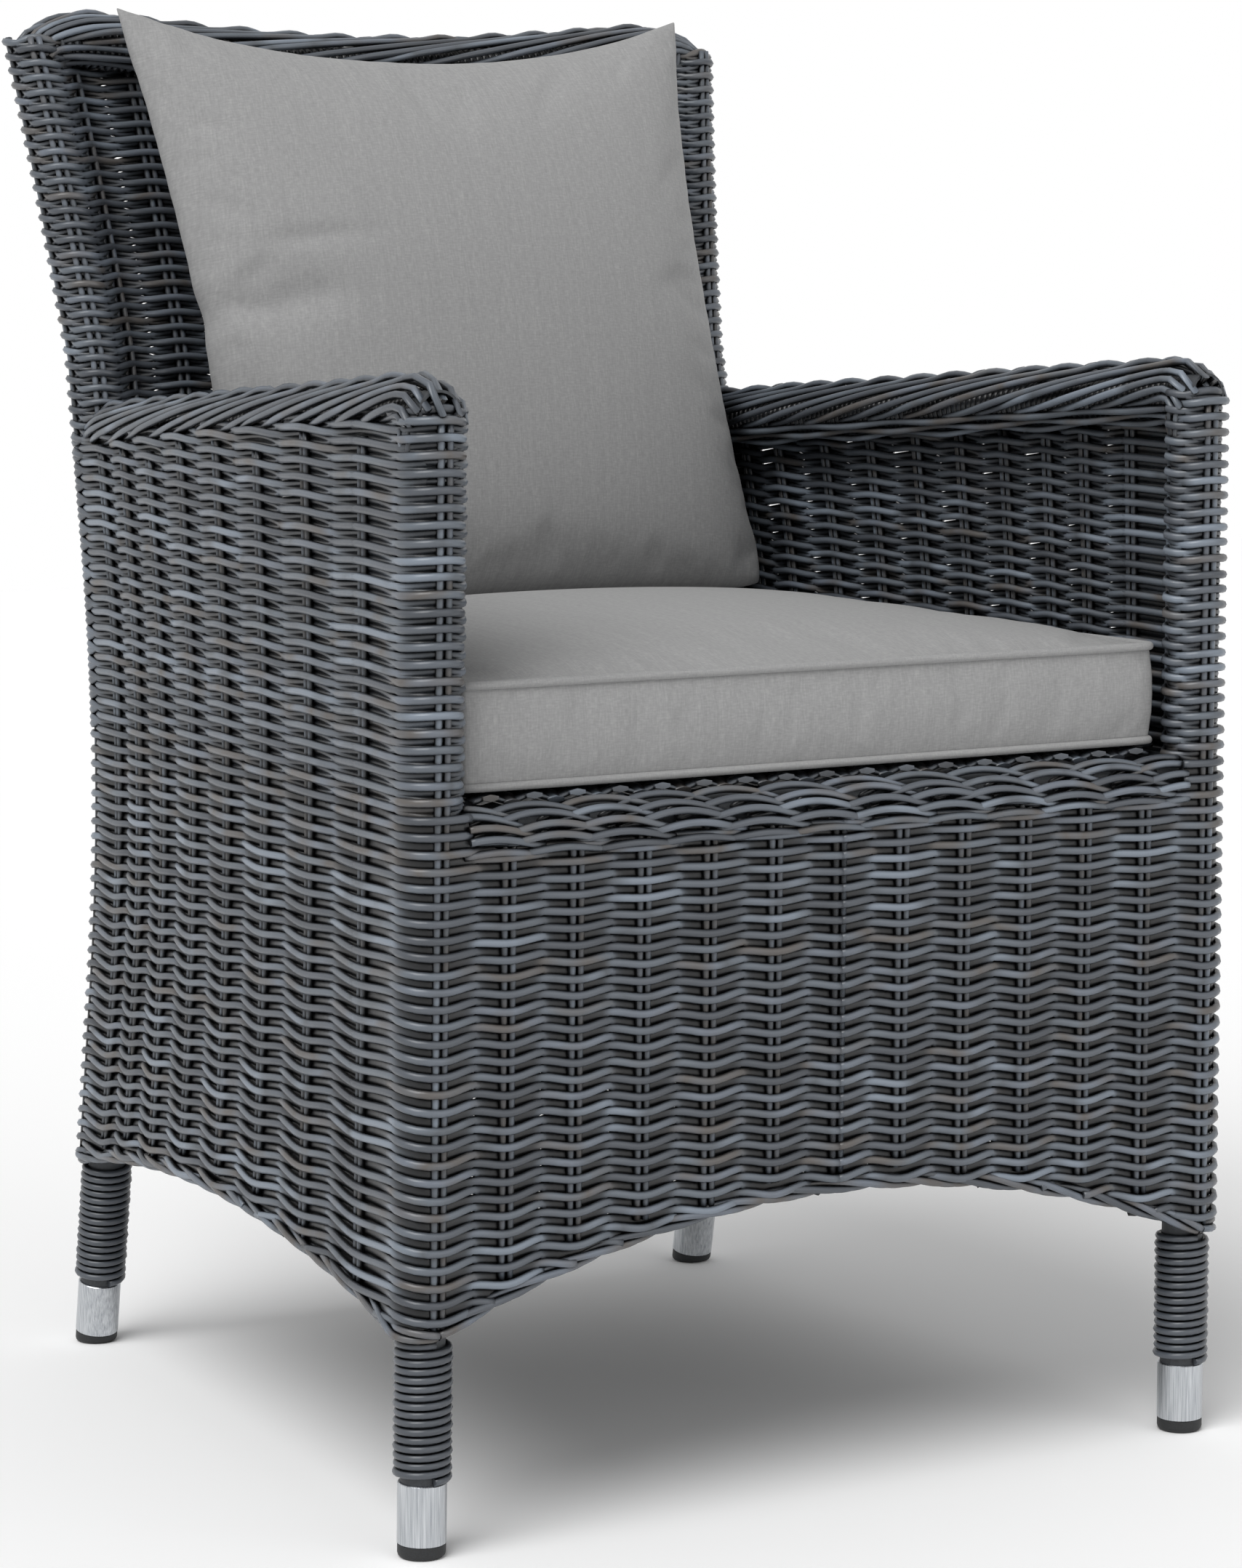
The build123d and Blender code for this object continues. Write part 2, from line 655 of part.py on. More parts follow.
# Back cushion: two crowned faces that meet in a knife edge, leaning on the back weave
lean = radians(RECLINE)
pillow_up = Vector(0, sin(lean), cos(lean))
pillow_out = Vector(0, -cos(lean), sin(lean))
pillow_foot_z = top_seam_z + PILLOW_REST
pillow_foot = Vector(0, rear_depth(pillow_foot_z), pillow_foot_z)
pillow_crown = PILLOW_T / 2 * (1 - CROWN_SHARES[-1] ** 2)
pillow_stand = pillow_crown + PILLOW_GAP - skin_inner
pillow_foot += pillow_out * pillow_stand - pillow_up * (pillow_stand * tan(lean))
pillow_plane = Plane(pillow_foot + pillow_up * (PILLOW_H / 2), x_dir=(1, 0, 0), z_dir=pillow_out)


def pillow_outline(share):
    """The pillow's outline shrunk to a share of its size: the corners round off faster than the sides."""
    half = PILLOW_W / 2 * share**1.25
    tall = PILLOW_H / 2 * share**1.25
    side = (PILLOW_W / 2 - PILLOW_SIDE_DRAW) * share
    top = (PILLOW_H / 2 - PILLOW_TOP_DRAW) * share
    foot = (PILLOW_H / 2 - PILLOW_FOOT_DRAW) * share
    with BuildSketch() as outline:
        with BuildLine():
            ThreePointArc((-half, tall), (0, top), (half, tall))
            ThreePointArc((half, tall), (side, 0), (half, -tall))
            ThreePointArc((half, -tall), (0, -foot), (-half, -tall))
            ThreePointArc((-half, -tall), (-side, 0), (-half, tall))
        make_face()
    return outline.sketch


with BuildPart() as back_cushion:
    for share in CROWN_SHARES:
        with BuildSketch(pillow_plane.offset(PILLOW_T / 2 * (1 - share**2))):
            add(pillow_outline(share))
    loft()
    mirror(about=pillow_plane)
save(back_cushion.part, "back_cushion")
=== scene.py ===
"""A woven dining armchair with a boxed seat cushion and a knife-edge back cushion, in metres.

The tubes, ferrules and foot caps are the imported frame's own. The weave, the plaits, the leg windings
and the cushions are worked out here as strands along paths and as panels on grids.
"""

import math

import bpy
import numpy as np
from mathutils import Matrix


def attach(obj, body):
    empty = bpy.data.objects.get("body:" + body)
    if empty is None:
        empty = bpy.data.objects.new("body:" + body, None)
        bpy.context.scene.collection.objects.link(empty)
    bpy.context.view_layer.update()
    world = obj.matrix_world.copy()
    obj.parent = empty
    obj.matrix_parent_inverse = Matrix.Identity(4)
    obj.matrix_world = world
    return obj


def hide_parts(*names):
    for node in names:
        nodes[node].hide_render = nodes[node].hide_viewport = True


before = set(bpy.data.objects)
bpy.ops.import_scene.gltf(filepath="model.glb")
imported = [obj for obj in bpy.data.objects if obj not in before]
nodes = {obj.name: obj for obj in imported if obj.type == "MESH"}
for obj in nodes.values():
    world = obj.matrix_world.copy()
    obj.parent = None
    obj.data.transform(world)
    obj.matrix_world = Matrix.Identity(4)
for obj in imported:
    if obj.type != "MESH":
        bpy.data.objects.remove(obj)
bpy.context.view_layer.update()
scene = bpy.context.scene

# Axes of the frame's tubes
FRONT_Y = -0.2853
REAR_Y = 0.2607
FRONT_HALF = 0.2685
REAR_HALF = 0.2355
LEAN_IN = 0.007
POST_LEAN = 0.007
ARM_FRONT_Z = 0.650
ARM_REAR_Z = 0.613
SEAT_Z = 0.418
SPLAY = math.tan(math.radians(10.5))
RECLINE = math.radians(13.3)
KNEE_Z = 0.403
KNEE_SPAN = 0.1425
FLARE_Z = 0.668
CORNER_HALF = 0.2495
CORNER_Z = 0.875
TOP_MIDDLE_Z = 0.849
TOP_BEND = 0.176
POST_R = 0.0127

# Strands, and how much taller, lower and wider apart they are where they are hidden, and how much darker there as
# painted shade
STRAND_R = 0.0023
STRAND_TALL = 1.09
HIDDEN_TALL = 2.5
HIDDEN_DROP = 0.0016
HIDDEN_SPREAD = 0.0024
SPREAD_TALL = 1.38
HIDDEN_POWER = 0.7
HIDDEN_PAINTED_SHADE = 0.95
OVERLAP_GIRTH = 0.9
LOWER_GIRTH = 0.93

# Rows, one above the other
ROW = 0.0048
FIRST_ROW = 0.1185
ROWS = 160
STEP = 0.1
WAVE_POWER = 0.65
WANDER = 0.0005
SAG = 0.0016
SAG_END_Z = 0.42
CORNER_DIP = 0.006
DIP_END_Z = 0.27
DIP_REACH = 0.07
FADE = 0.12
HEM_Z = 0.133
HEM_RISES = (0.056, 0.030, 0.045)
HEM_RING = 0.0027
HEM_TWIST = 0.11
HEM_OVERLAP = 0.001
RAIL_OVERLAP = 0.002
SKIRT_TOP_Z = SEAT_Z + 0.0095
BORDER_ROOM = 0.005
SPLIT_Z = 0.600
LEVEL_TOP_HALF = 0.235

# Stake pairs: their number at the front and the back, half of each, and their places along the sides
PAIR_GAP = 0.0027
STAKE_STEP = 0.012
WALL_STAKES = (0.11, 0.66)
BACK_STAKES = (SPLIT_Z - 0.01, 0.9)
FRONT_PAIRS = 6
BACK_PAIRS = 5
SIDE_PAIRS = {
    "left": (0.11, 0.26, 0.395, 0.518, 0.637, 0.749, 0.845, 0.93),
    "right": (0.15, 0.24, 0.314, 0.40, 0.49, 0.58, 0.677, 0.776, 0.878, 0.955),
}
HANDS = {"left": 1, "right": -1}
UP = np.array((0.0, 0.0, 1.0))

# Weave's distance from the posts' axes and its swing, and each place's distance from the nearest post
WALL_STAND = 0.0138
WALL_SWING = 0.0031
POST_STAND = 0.0172
POST_SWING = 0.0027
POST_REACH = 0.03
BACK_STAND = 0.006
BACK_EASE_Z = 0.40
BACK_EASE = 0.2
SIDE_BOW = 0.006
FROM_POST = ((0, 1, 2, 2.5, 3, 4, 5), (0.26, 0, 0, 0.25, 0, 0, 0.23))
FRONT_POST_PLACE = 0.93
REAR_POST_PLACE = 3.3

# A row over the seat turns round the front post in so many stations and tucks into the wall in as many
TUCK = 0.8
TUCK_OUT = 0.027
TUCK_BACK = 0.036

# A row of the back comes onto the rear post and then goes round it, in stations and radians for each
ONTO_POST = 0.75
ONTO_POST_X = 0.022
FORWARD_RAMP = 0.032
ROUND_POST = 2.65
POST_TURN = 1.6

# Border of the seat's front edge: five layers of arches, in degrees round it, stations and metres
BORDER_ROLLS = (-44, -22, 0, 20, 40)
BORDER_STAGGER = 0.12
BORDER_SPAN = 1.75
BORDER_STAND = 0.0140
BORDER_ARCH = 0.0058
BORDER_DIVE = 0.0035
BORDER_DROP = 0.006

# Plaits and windings
ARM_LEAN = np.array((0.0, 0.35, 1.0))
ARM_PLAIT_LOW = 112
ARM_ROWS = np.array((120, 141, 162))
TOP_PLAIT_LOW = 100
TOP_ROWS = np.array((108, 129, 150))
TOP_HALF = 0.225
PLAIT_RING = 0.0166
PLAIT_SPACING = 0.038
PLAIT_SPAN = 0.28
PLAIT_PAST = 30
PLAIT_LIFT = 0.0032
PLAIT_SINK = 0.007
PLAIT_END = 0.045
RAIL_STEP = 0.004
RAIL_ROW_DEPTH = 0.0012
RAIL_ROW_SWING = 0.0018
RAIL_ROW_WAVE = 0.05
TANGENT_REACH = 0.003
CORE_RING = POST_R - 0.0005
CORE_PITCH = 0.0052
LEG_RING = POST_R + STRAND_R - 0.0002
LEG_PITCH = 0.0050
LEG_WRAP = (0.0465, 0.1265)

# Seat deck of flat straps under the cushion
DECK_Z = 0.4316
DECK_WIDTH = 0.52
DECK_PITCH = 0.014
DECK_POST_ROOM = 0.026
DECK_REAR_ROOM = 0.012
DECK_OVERLAP = 0.001
STRAP_THICK = 0.0040
STRAP_WIDTH = 0.0116
STRAP_SWING = 0.0017

# Cushions
SEAT_FRONT = -0.2855
SEAT_REAR = 0.1731
SEAT_FRONT_HALF = 0.2405
SEAT_REAR_HALF = 0.2118
UNDER_Z = 0.4366
LOW_WELT_Z = 0.4389
TOP_WELT_Z = 0.4968
WELT_R = 0.0028
WELT_PROUD = 0.0006
SEAT_CROWN = 0.0205
SEAT_BLUNT = 0.010
SEAT_PRESSED = 0.85
BOXING_SWELL = 0.0020
PILLOW_W = 0.420
PILLOW_H = 0.405
PILLOW_T = 0.128
PILLOW_REAR = 0.050
PILLOW_TOP = np.array((0.0, 0.2472, 0.8905))
PILLOW_LEAN = math.radians(15.3)
PILLOW_TOP_DRAW = 0.029
PILLOW_FOOT_DRAW = 0.003
PILLOW_LEFT_DRAW = 0.022
PILLOW_RIGHT_DRAW = 0.012
PILLOW_SKEW = 0.012
PILLOW_BLUNT = 0.03
PILLOW_NOTCH = 0.004
PILLOW_SPLAY = 0.004
PILLOW_PEAK_OUT = 0.0045
PILLOW_PEAK_UP = 0.006
AIR_PRESSURE = 3.0
AIR_FRAMES = 20
SEAT_CAP = 0.003
PILLOW_CAP = 0.004

# Grooves on the back cushion's front: place across and up, turn, length, width and depth
PILLOW_GROOVES = (
    (-0.64, 0.205, 0.05, 0.17, 0.030, 0.0028),
    (-0.86, 0.09, 0.6, 0.09, 0.030, 0.0034),
    (-0.93, -0.01, -0.3, 0.08, 0.025, 0.0042),
    (-0.925, -0.36, 1.57, 0.30, 0.020, 0.0018),
)

# Sizes of the finishes' patterns, colours, light and camera
WICKER_PATCH = 0.06
WICKER_GRAIN = 0.0025
# How far the wicker's painted shade looks for neighbouring strands
PAINTED_SHADE_REACH = 0.014
BRUSH_LINE = (0.0008, 0.0008, 0.03)
YARNS = ((0.0040, 0.0011, 1), (0.0011, 0.0060, 1), (0.0035, 0.060, 1))
# Near-black that the wicker's colour is mixed towards as painted shade
PAINTED_SHADE_GREY = "#060607"
GREYS = [
    (0.0, "#464a50"),
    (0.3, "#555a61"),
    (0.5, "#626971"),
    (0.62, "#5b5754"),
    (0.75, "#6a717b"),
    (0.88, "#555a60"),
    (1.0, "#7a838e"),
]
AMBIENT = 0.45
MIRRORED = 0.8
FLOOR_HALF = 6.0
LENS = 101.38
CAMERA_PLACE = (-1.38670, -2.46091, 0.75597)
CAMERA_TILT = 7.2812
CAMERA_TURN = -29.8686

row_level = FIRST_ROW + ROW * np.arange(ROWS)
row_sign = np.where(np.arange(ROWS) % 2, -1.0, 1.0)
row_tint = np.random.default_rng(5).random(ROWS)


def smooth(x):
    """Smooth step: 0 below 0, 1 above 1, and 3x^2 - 2x^3 between."""
    x = np.clip(x, 0, 1)
    return x * x * (3 - 2 * x)


def unit(v):
    """Vectors scaled to length 1."""
    return v / np.linalg.norm(v, axis=-1, keepdims=True)


def side_half(y, z):
    """Half-width of the plane that a front and a rear leg share: it narrows to the rear and upwards."""
    half = FRONT_HALF + (REAR_HALF - FRONT_HALF) * (y - FRONT_Y) / (REAR_Y - FRONT_Y)
    return half - LEAN_IN * z / ARM_FRONT_Z


def front_axis(z):
    """x and y of the left front post at height z, a straight line that leans a little."""
    y = FRONT_Y - POST_LEAN * z / ARM_FRONT_Z
    return -side_half(y, z), y


def rear_axis(z):
    """x and y of the left rear post: straight, a parabola through the knee, straight again, then flared."""
    bend = math.tan(RECLINE) + SPLAY
    into = np.clip(z - KNEE_Z + KNEE_SPAN, 0, 2 * KNEE_SPAN)
    bent = into**2 / (4 * KNEE_SPAN) + np.maximum(z - KNEE_Z - KNEE_SPAN, 0)
    y = REAR_Y - SPLAY * z + bend * bent
    flare = np.clip((z - FLARE_Z) / (CORNER_Z - FLARE_Z), 0, 1)
    half = side_half(y, z)
    return -(half + (CORNER_HALF - half) * flare), y


def top_rail_z(x):
    """Height of the back's top rail: a parabola in the middle that runs straight up to the corners."""
    slope = (CORNER_Z - TOP_MIDDLE_Z) / CORNER_HALF
    reach = np.abs(x)
    bend = (reach**2 + TOP_BEND**2) / (2 * TOP_BEND)
    return TOP_MIDDLE_Z + slope * np.where(reach < TOP_BEND, bend, reach)


def side_end(hand):
    """Station of the side's last stake pair."""
    return FRONT_PAIRS + len(SIDE_PAIRS[hand])


def last_station(hand):
    """Station of the back's middle."""
    return side_end(hand) + 2 + BACK_PAIRS


def stations(hand):
    """Stake pairs are whole stations; the table turns a station into a place on the wall's five stretches.

    0 to 1 is the front, 1 to 2 the front post's corner, 2 to 3 the side, 3 to 4 the rear post's corner
    and 4 to 5 the back, up to its middle.
    """
    n = side_end(hand)
    at = [0, FRONT_PAIRS, FRONT_PAIRS + 0.45, *range(FRONT_PAIRS + 1, n + 1)]
    at += [n + 0.55, n + 1, n + 1.4, n + 2, last_station(hand)]
    return at, [0, 1, 2, *[2 + pair for pair in SIDE_PAIRS[hand]], 3, 3.5, 4, 4.096, 5]


def back_stand(z):
    """How far the back's weave stands behind its posts' axes: less above the seat than in the skirt."""
    return WALL_STAND + (BACK_STAND - WALL_STAND) * smooth((z - BACK_EASE_Z) / BACK_EASE)


def course(station, z, hand, over_seat=False):
    """Middle of the weave at a station and height, its outward direction, its swing and its place.

    A centre runs along the posts' axes and the weave stands off it by a distance that grows at the posts.
    Over the seat the front wall is missing, and a row starts on the inner side of the front post.
    """
    place = np.interp(station, *stations(hand))
    fx, fy = front_axis(z)
    rx, ry = rear_axis(z)
    side_angle = -math.pi - np.arctan2(rx - fx, ry - fy)
    first, second = np.clip(place - 1, 0, 1), np.clip(place - 3, 0, 1)
    angle = -math.pi / 2 + (side_angle + math.pi / 2) * first + (-1.5 * math.pi - side_angle) * second
    front, side, back = np.clip(place, 0, 1), np.clip(place - 2, 0, 1), np.clip(place - 4, 0, 1)
    x = fx * front + (rx - fx) * side - rx * back
    y = fy + (ry - fy) * side
    near = np.exp(-((np.interp(place, *FROM_POST) / POST_REACH) ** 2))
    wall = np.where(place > 3.5, back_stand(z), WALL_STAND + SIDE_BOW * np.sin(math.pi * side))
    stand = wall + (POST_STAND - wall) * near
    swing = WALL_SWING + (POST_SWING - WALL_SWING) * near
    if over_seat:
        before = station < FRONT_PAIRS
        inner = np.clip((FRONT_PAIRS - station) / TUCK, 0, 1)
        tuck = np.clip((FRONT_PAIRS - TUCK - station) / TUCK, 0, 1)
        angle = np.where(before, -math.pi / 2 * (1 - inner), angle)
        x = np.where(before, fx - TUCK_OUT * tuck, x)
        y = np.where(before, fy + TUCK_BACK * tuck, y)
        stand = np.where(before, POST_STAND, stand)
        swing = np.where(before, POST_SWING * (1 - tuck), swing)
    out = np.stack(np.broadcast_arrays(np.cos(angle), np.sin(angle), 0 * angle), -1)
    middle = np.stack(np.broadcast_arrays(x, y, z), -1) + stand[..., None] * out
    return middle, out, swing, place


def back_course(station, z, hand):
    """The back above the arms: the weave comes forward onto the rear post and goes round its outer side."""
    count = last_station(hand) - station
    rx, ry = rear_axis(z)
    reach = -rx - ONTO_POST_X
    past = np.clip(count - BACK_PAIRS, 0, ONTO_POST)
    x = -(reach * np.minimum(count, BACK_PAIRS) / BACK_PAIRS + ONTO_POST_X / ONTO_POST * past)
    forward = smooth((-x + rx + FORWARD_RAMP) / FORWARD_RAMP)
    y = ry + back_stand(z) * (1 - forward) - POST_STAND * forward
    turn = -math.pi / 2 - POST_TURN * np.clip(count - BACK_PAIRS - ONTO_POST, 0, ROUND_POST)
    on_post = count > BACK_PAIRS + ONTO_POST
    x = np.where(on_post, rx + POST_STAND * np.cos(turn), x)
    y = np.where(on_post, ry + POST_STAND * np.sin(turn), y)
    out_x = np.where(on_post, -np.cos(turn), 0.0)
    out_y = np.where(on_post, -np.sin(turn), 1.0)
    swing = WALL_SWING + (POST_SWING - WALL_SWING) * smooth((count - BACK_PAIRS) / 0.5)
    out = np.stack(np.broadcast_arrays(out_x, out_y, 0 * out_x), -1)
    return np.stack(np.broadcast_arrays(x, y, z), -1), out, swing, 5 - count / BACK_PAIRS


def hem_height(place):
    """Height of the hem: three parabolic arches, over the front, the side and the back."""
    front, side, back = HEM_RISES
    arch = np.where(place < 1, front * (1 - np.clip(place, 0, 1) ** 2), 0)
    arch = arch + np.where((place > 2) & (place < 3), side * (1 - (2 * place - 5) ** 2), 0)
    return HEM_Z + arch + np.where(place > 4, back * (1 - np.clip(5 - place, 0, 1) ** 2), 0)


def arm_height(place):
    """Height of the arm rail's axis along the side."""
    return ARM_FRONT_Z + (ARM_REAR_Z - ARM_FRONT_Z) * np.clip(place - 2, 0, 1)


def wander(station, seed, reach):
    """A slow drift along each row: three sines whose lengths and starts are picked for the row."""
    pick = np.random.default_rng(seed)
    pace = pick.uniform(0.6, 2.1, (3, ROWS, 1))
    start = pick.uniform(0, 2 * math.pi, (3, ROWS, 1))
    return reach / 3 * np.sin(pace * station + start).sum(0)


def weave_rows(hand, kind):
    """Every row of one kind on one side: points, path directions, outward directions, kept part and hiding.

    A row swings out and in by a cosine of the station, so it passes in front of one stake pair and behind
    the next; the next row does the opposite. Low rows sag at the pairs and dip at the corners, high ones
    bow upwards. The last array says how far a strand is hidden behind the stakes, as seen from outside in
    the skirt and on the left, and from inside on the right and the back; there it lies lower.
    """
    end = last_station(hand)
    back_start = end - BACK_PAIRS - (ONTO_POST + ROUND_POST)
    start = {"skirt": 0, "side": FRONT_PAIRS - 2 * TUCK, "back": back_start}[kind]
    station = start + STEP * np.arange(round((end - start) / STEP) + 1)
    wave = np.cos(math.pi * station) * row_sign[:, None]
    wave = np.sign(wave) * np.abs(wave) ** WAVE_POWER
    level = row_level[:, None] + wander(station, 3, WANDER)
    level = level - SAG * np.cos(2 * math.pi * station) * np.clip((SAG_END_Z - level) / FADE, -0.5, 1)
    at_rear = (station > side_end(hand) + 0.5) | (kind == "back")
    on_right = (hand == "right") & (station > FRONT_PAIRS + 0.5)
    from_inside = (kind != "skirt") & (at_rear | on_right)
    hidden = np.clip(np.where(from_inside, wave, -wave), 0, 1) ** HIDDEN_POWER
    level = level - HIDDEN_DROP * hidden * np.where(at_rear, 0.5, 1)
    if kind == "back":
        middle, out, swing, place = back_course(station[None, :], level, hand)
    else:
        from_post = np.interp(np.interp(station, *stations(hand)), *FROM_POST)
        at_corner = np.exp(-((from_post / DIP_REACH) ** 2))
        level = level - CORNER_DIP * at_corner * np.clip((DIP_END_Z - level) / FADE, 0, 1)
        middle, out, swing, place = course(station[None, :], level, hand, kind == "side")
    points = middle + (swing * wave)[..., None] * out
    points[..., 0] *= HANDS[hand]
    out[..., 0] *= HANDS[hand]
    place = np.broadcast_to(place, level.shape)
    along = np.gradient(points, axis=1)
    along[:, -1] = (HANDS[hand], 0.0, 0.0)
    base = row_level[:, None]
    if kind == "skirt":
        along[:, 0] = (-HANDS[hand], 0.0, 0.0)
        keep = (base < SKIRT_TOP_Z) & (level > hem_height(place) - HEM_OVERLAP)
        keep &= (place > FRONT_POST_PLACE) | (level < SEAT_Z - BORDER_ROOM)
    elif kind == "side":
        keep = (base > SKIRT_TOP_Z) & (level < arm_height(place) + RAIL_OVERLAP)
        keep &= (base < SPLIT_Z) | (place < REAR_POST_PLACE)
    else:
        across = np.clip(points[..., 0], -LEVEL_TOP_HALF, LEVEL_TOP_HALF)
        keep = (base > SPLIT_Z) & (level < top_rail_z(across) + RAIL_OVERLAP)
    return station, points, along, out, keep, hidden


def stake_rows(hand, kind):
    """Stakes as upright rows: two beside each other at a station, on the middle of the weave."""
    end, pairs = last_station(hand), side_end(hand)
    whole = {
        "front": np.arange(0, FRONT_PAIRS),
        "side": np.arange(FRONT_PAIRS, pairs + 2),
        "skirt_back": np.arange(pairs + 2, end + 1),
        "back": np.arange(pairs, end + 1),
    }[kind]
    station = np.repeat(whole, 2)
    beside = np.where(np.arange(len(station)) % 2, PAIR_GAP, -PAIR_GAP)
    low, high = BACK_STAKES if kind == "back" else WALL_STAKES
    level = np.linspace(low, high, round((high - low) / STAKE_STEP))
    find = back_course if kind == "back" else course
    middle, out, _, place = find(station[:, None], level[None, :], hand)
    points = middle + beside[:, None, None] * np.stack([-out[..., 1], out[..., 0], out[..., 2]], -1)
    points[..., 0] *= HANDS[hand]
    out[..., 0] *= HANDS[hand]
    place = np.broadcast_to(place, points.shape[:2])
    level = np.broadcast_to(level, points.shape[:2])
    if kind == "back":
        keep = level < top_rail_z(points[..., 0])
    else:
        top = {"front": SEAT_Z, "side": arm_height(place), "skirt_back": SPLIT_Z}[kind]
        keep = (level > hem_height(place)) & (level < top)
    return points, np.gradient(points, axis=1), out, keep


def put_mesh(name, verts, quads, tris):
    """A mesh object from arrays of corners, smooth four-sided faces and flat three-sided ones."""
    mesh = bpy.data.meshes.new(name)
    mesh.vertices.add(len(verts))
    mesh.vertices.foreach_set("co", np.asarray(verts, np.float32).ravel())
    mesh.loops.add(4 * len(quads) + 3 * len(tris))
    mesh.loops.foreach_set("vertex_index", np.concatenate([quads.ravel(), tris.ravel()]).astype(np.int32))
    sizes = np.concatenate([np.full(len(quads), 4), np.full(len(tris), 3)])
    mesh.polygons.add(len(sizes))
    mesh.polygons.foreach_set("loop_start", (np.cumsum(sizes) - sizes).astype(np.int32))
    mesh.update(calc_edges=True)
    mesh.polygons.foreach_set("use_smooth", sizes == 4)
    mesh.update()
    piece = bpy.data.objects.new(name, mesh)
    scene.collection.objects.link(piece)
    return piece


def kept_strands(points, along, across, keep, tint, tall=1.0, girth=1.0, painted_shade=0.0):
    """Rows cut where keep is false: flat arrays of the kept points and the number of each one's strand."""
    starts = keep & ~np.pad(keep, ((0, 0), (1, 0)))[:, :-1]
    strand = np.cumsum(starts.ravel()).reshape(keep.shape) - 1
    count = np.bincount(strand[keep], minlength=1)
    keep = keep & (count[np.maximum(strand, 0)] > 2)
    tint = np.broadcast_to(np.reshape(tint, (-1, 1)), keep.shape)
    across = np.broadcast_to(across, points.shape)
    along_strand = [np.broadcast_to(value, keep.shape)[keep] for value in (tint, tall, girth, painted_shade)]
    return points[keep], along[keep], across[keep], strand[keep], *along_strand


def strand_piece(name, sets, radius=STRAND_R, sides=8):
    """Round strands: at each point of a path a ring of points stands square to it, and each end is closed.

    The ring's first point leans to the across direction, and the ring is stretched by the tallness beside it.
    A tint for each strand and a painted shade along it are kept as attributes.
    """
    parts = [kept_strands(*part) for part in sets]
    label = np.concatenate([part[3] + 1e6 * i for i, part in enumerate(parts)])
    points, along, across, _, tint, tall, girth, painted_shade = [np.concatenate(part) for part in zip(*parts)]
    along = unit(along)
    side = unit(np.cross(along, across))
    rise = np.cross(side, along)
    angle = 2 * math.pi * np.arange(sides) / sides
    ring = np.cos(angle)[:, None] * rise[:, None] + np.sin(angle)[:, None] * (tall[:, None] * side)[:, None]
    verts = (points[:, None] + radius * girth[:, None, None] * ring).reshape(-1, 3)
    last = np.append(label[1:] != label[:-1], True)
    first = np.insert(label[1:] != label[:-1], 0, True)
    corner = np.arange(sides)
    after = (corner + 1) % sides
    base = np.flatnonzero(~last)[:, None] * sides
    quads = np.stack([base + corner, base + after, base + sides + after, base + sides + corner], -1)
    quads = quads.reshape(-1, 4)
    heads, tails = np.flatnonzero(first)[:, None] * sides, np.flatnonzero(last)[:, None] * sides
    head_tip = len(verts) + np.arange(len(heads))[:, None] + 0 * corner
    tail_tip = head_tip + len(heads)
    tris = np.concatenate(
        [
            np.stack([head_tip, heads + after, heads + corner], -1).reshape(-1, 3),
            np.stack([tail_tip, tails + corner, tails + after], -1).reshape(-1, 3),
        ]
    )
    piece = put_mesh(name, np.concatenate([verts, points[first], points[last]]), quads, tris)
    for word, value in (("tint", tint), ("painted_shade", painted_shade)):
        attribute = piece.data.attributes.new(word, "FLOAT", "POINT")
        value = np.concatenate([np.repeat(value, sides), value[first], value[last]])
        attribute.data.foreach_set("value", value.astype(np.float32))
    return piece


def finish_piece(piece, material, body, slot, *replaced):
    """Gives a piece its material and the body it moves with, and hides the frame parts it stands for; the slot is
    not used.
    """
    piece.data.materials.append(material)
    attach(piece, body)
    if replaced:
        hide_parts(*replaced)


def run_along(path):
    """Distance of each of a path's points from its start, along the path."""
    return np.concatenate([[0], np.cumsum(np.linalg.norm(np.diff(path, axis=0), axis=1))])


def along_path(path, distance):
    """Points of a path at given distances along it."""
    run = run_along(path)
    return np.stack([np.interp(distance, run, path[:, i]) for i in range(3)], -1)


def rounded(points, count):
    """A smooth path near its control points: a uniform cubic B-spline with its ends held."""
    points = np.asarray(points, float)
    held = np.concatenate([2 * points[:1] - points[1:2], points, 2 * points[-1:] - points[-2:-1]])
    t = np.linspace(0, len(points) - 1 - 1e-9, count)
    i = t.astype(int)
    f = (t - i)[:, None]
    weights = [(1 - f) ** 3, 3 * f**3 - 6 * f**2 + 4, -3 * f**3 + 3 * f**2 + 3 * f + 1, f**3]
    return sum(weight * held[i + k] for k, weight in enumerate(weights)) / 6


def rail_frame(path, distance, up):
    """Centres of a path at given distances along it, and the directions upward and aside, square to the path."""
    distance = np.clip(distance, 0, run_along(path)[-1])
    centre = along_path(path, distance)
    way_on = unit(along_path(path, distance + TANGENT_REACH) - along_path(path, distance - TANGENT_REACH))
    aside = unit(np.cross(way_on, np.broadcast_to(up, way_on.shape)))
    return centre, np.cross(aside, way_on), aside


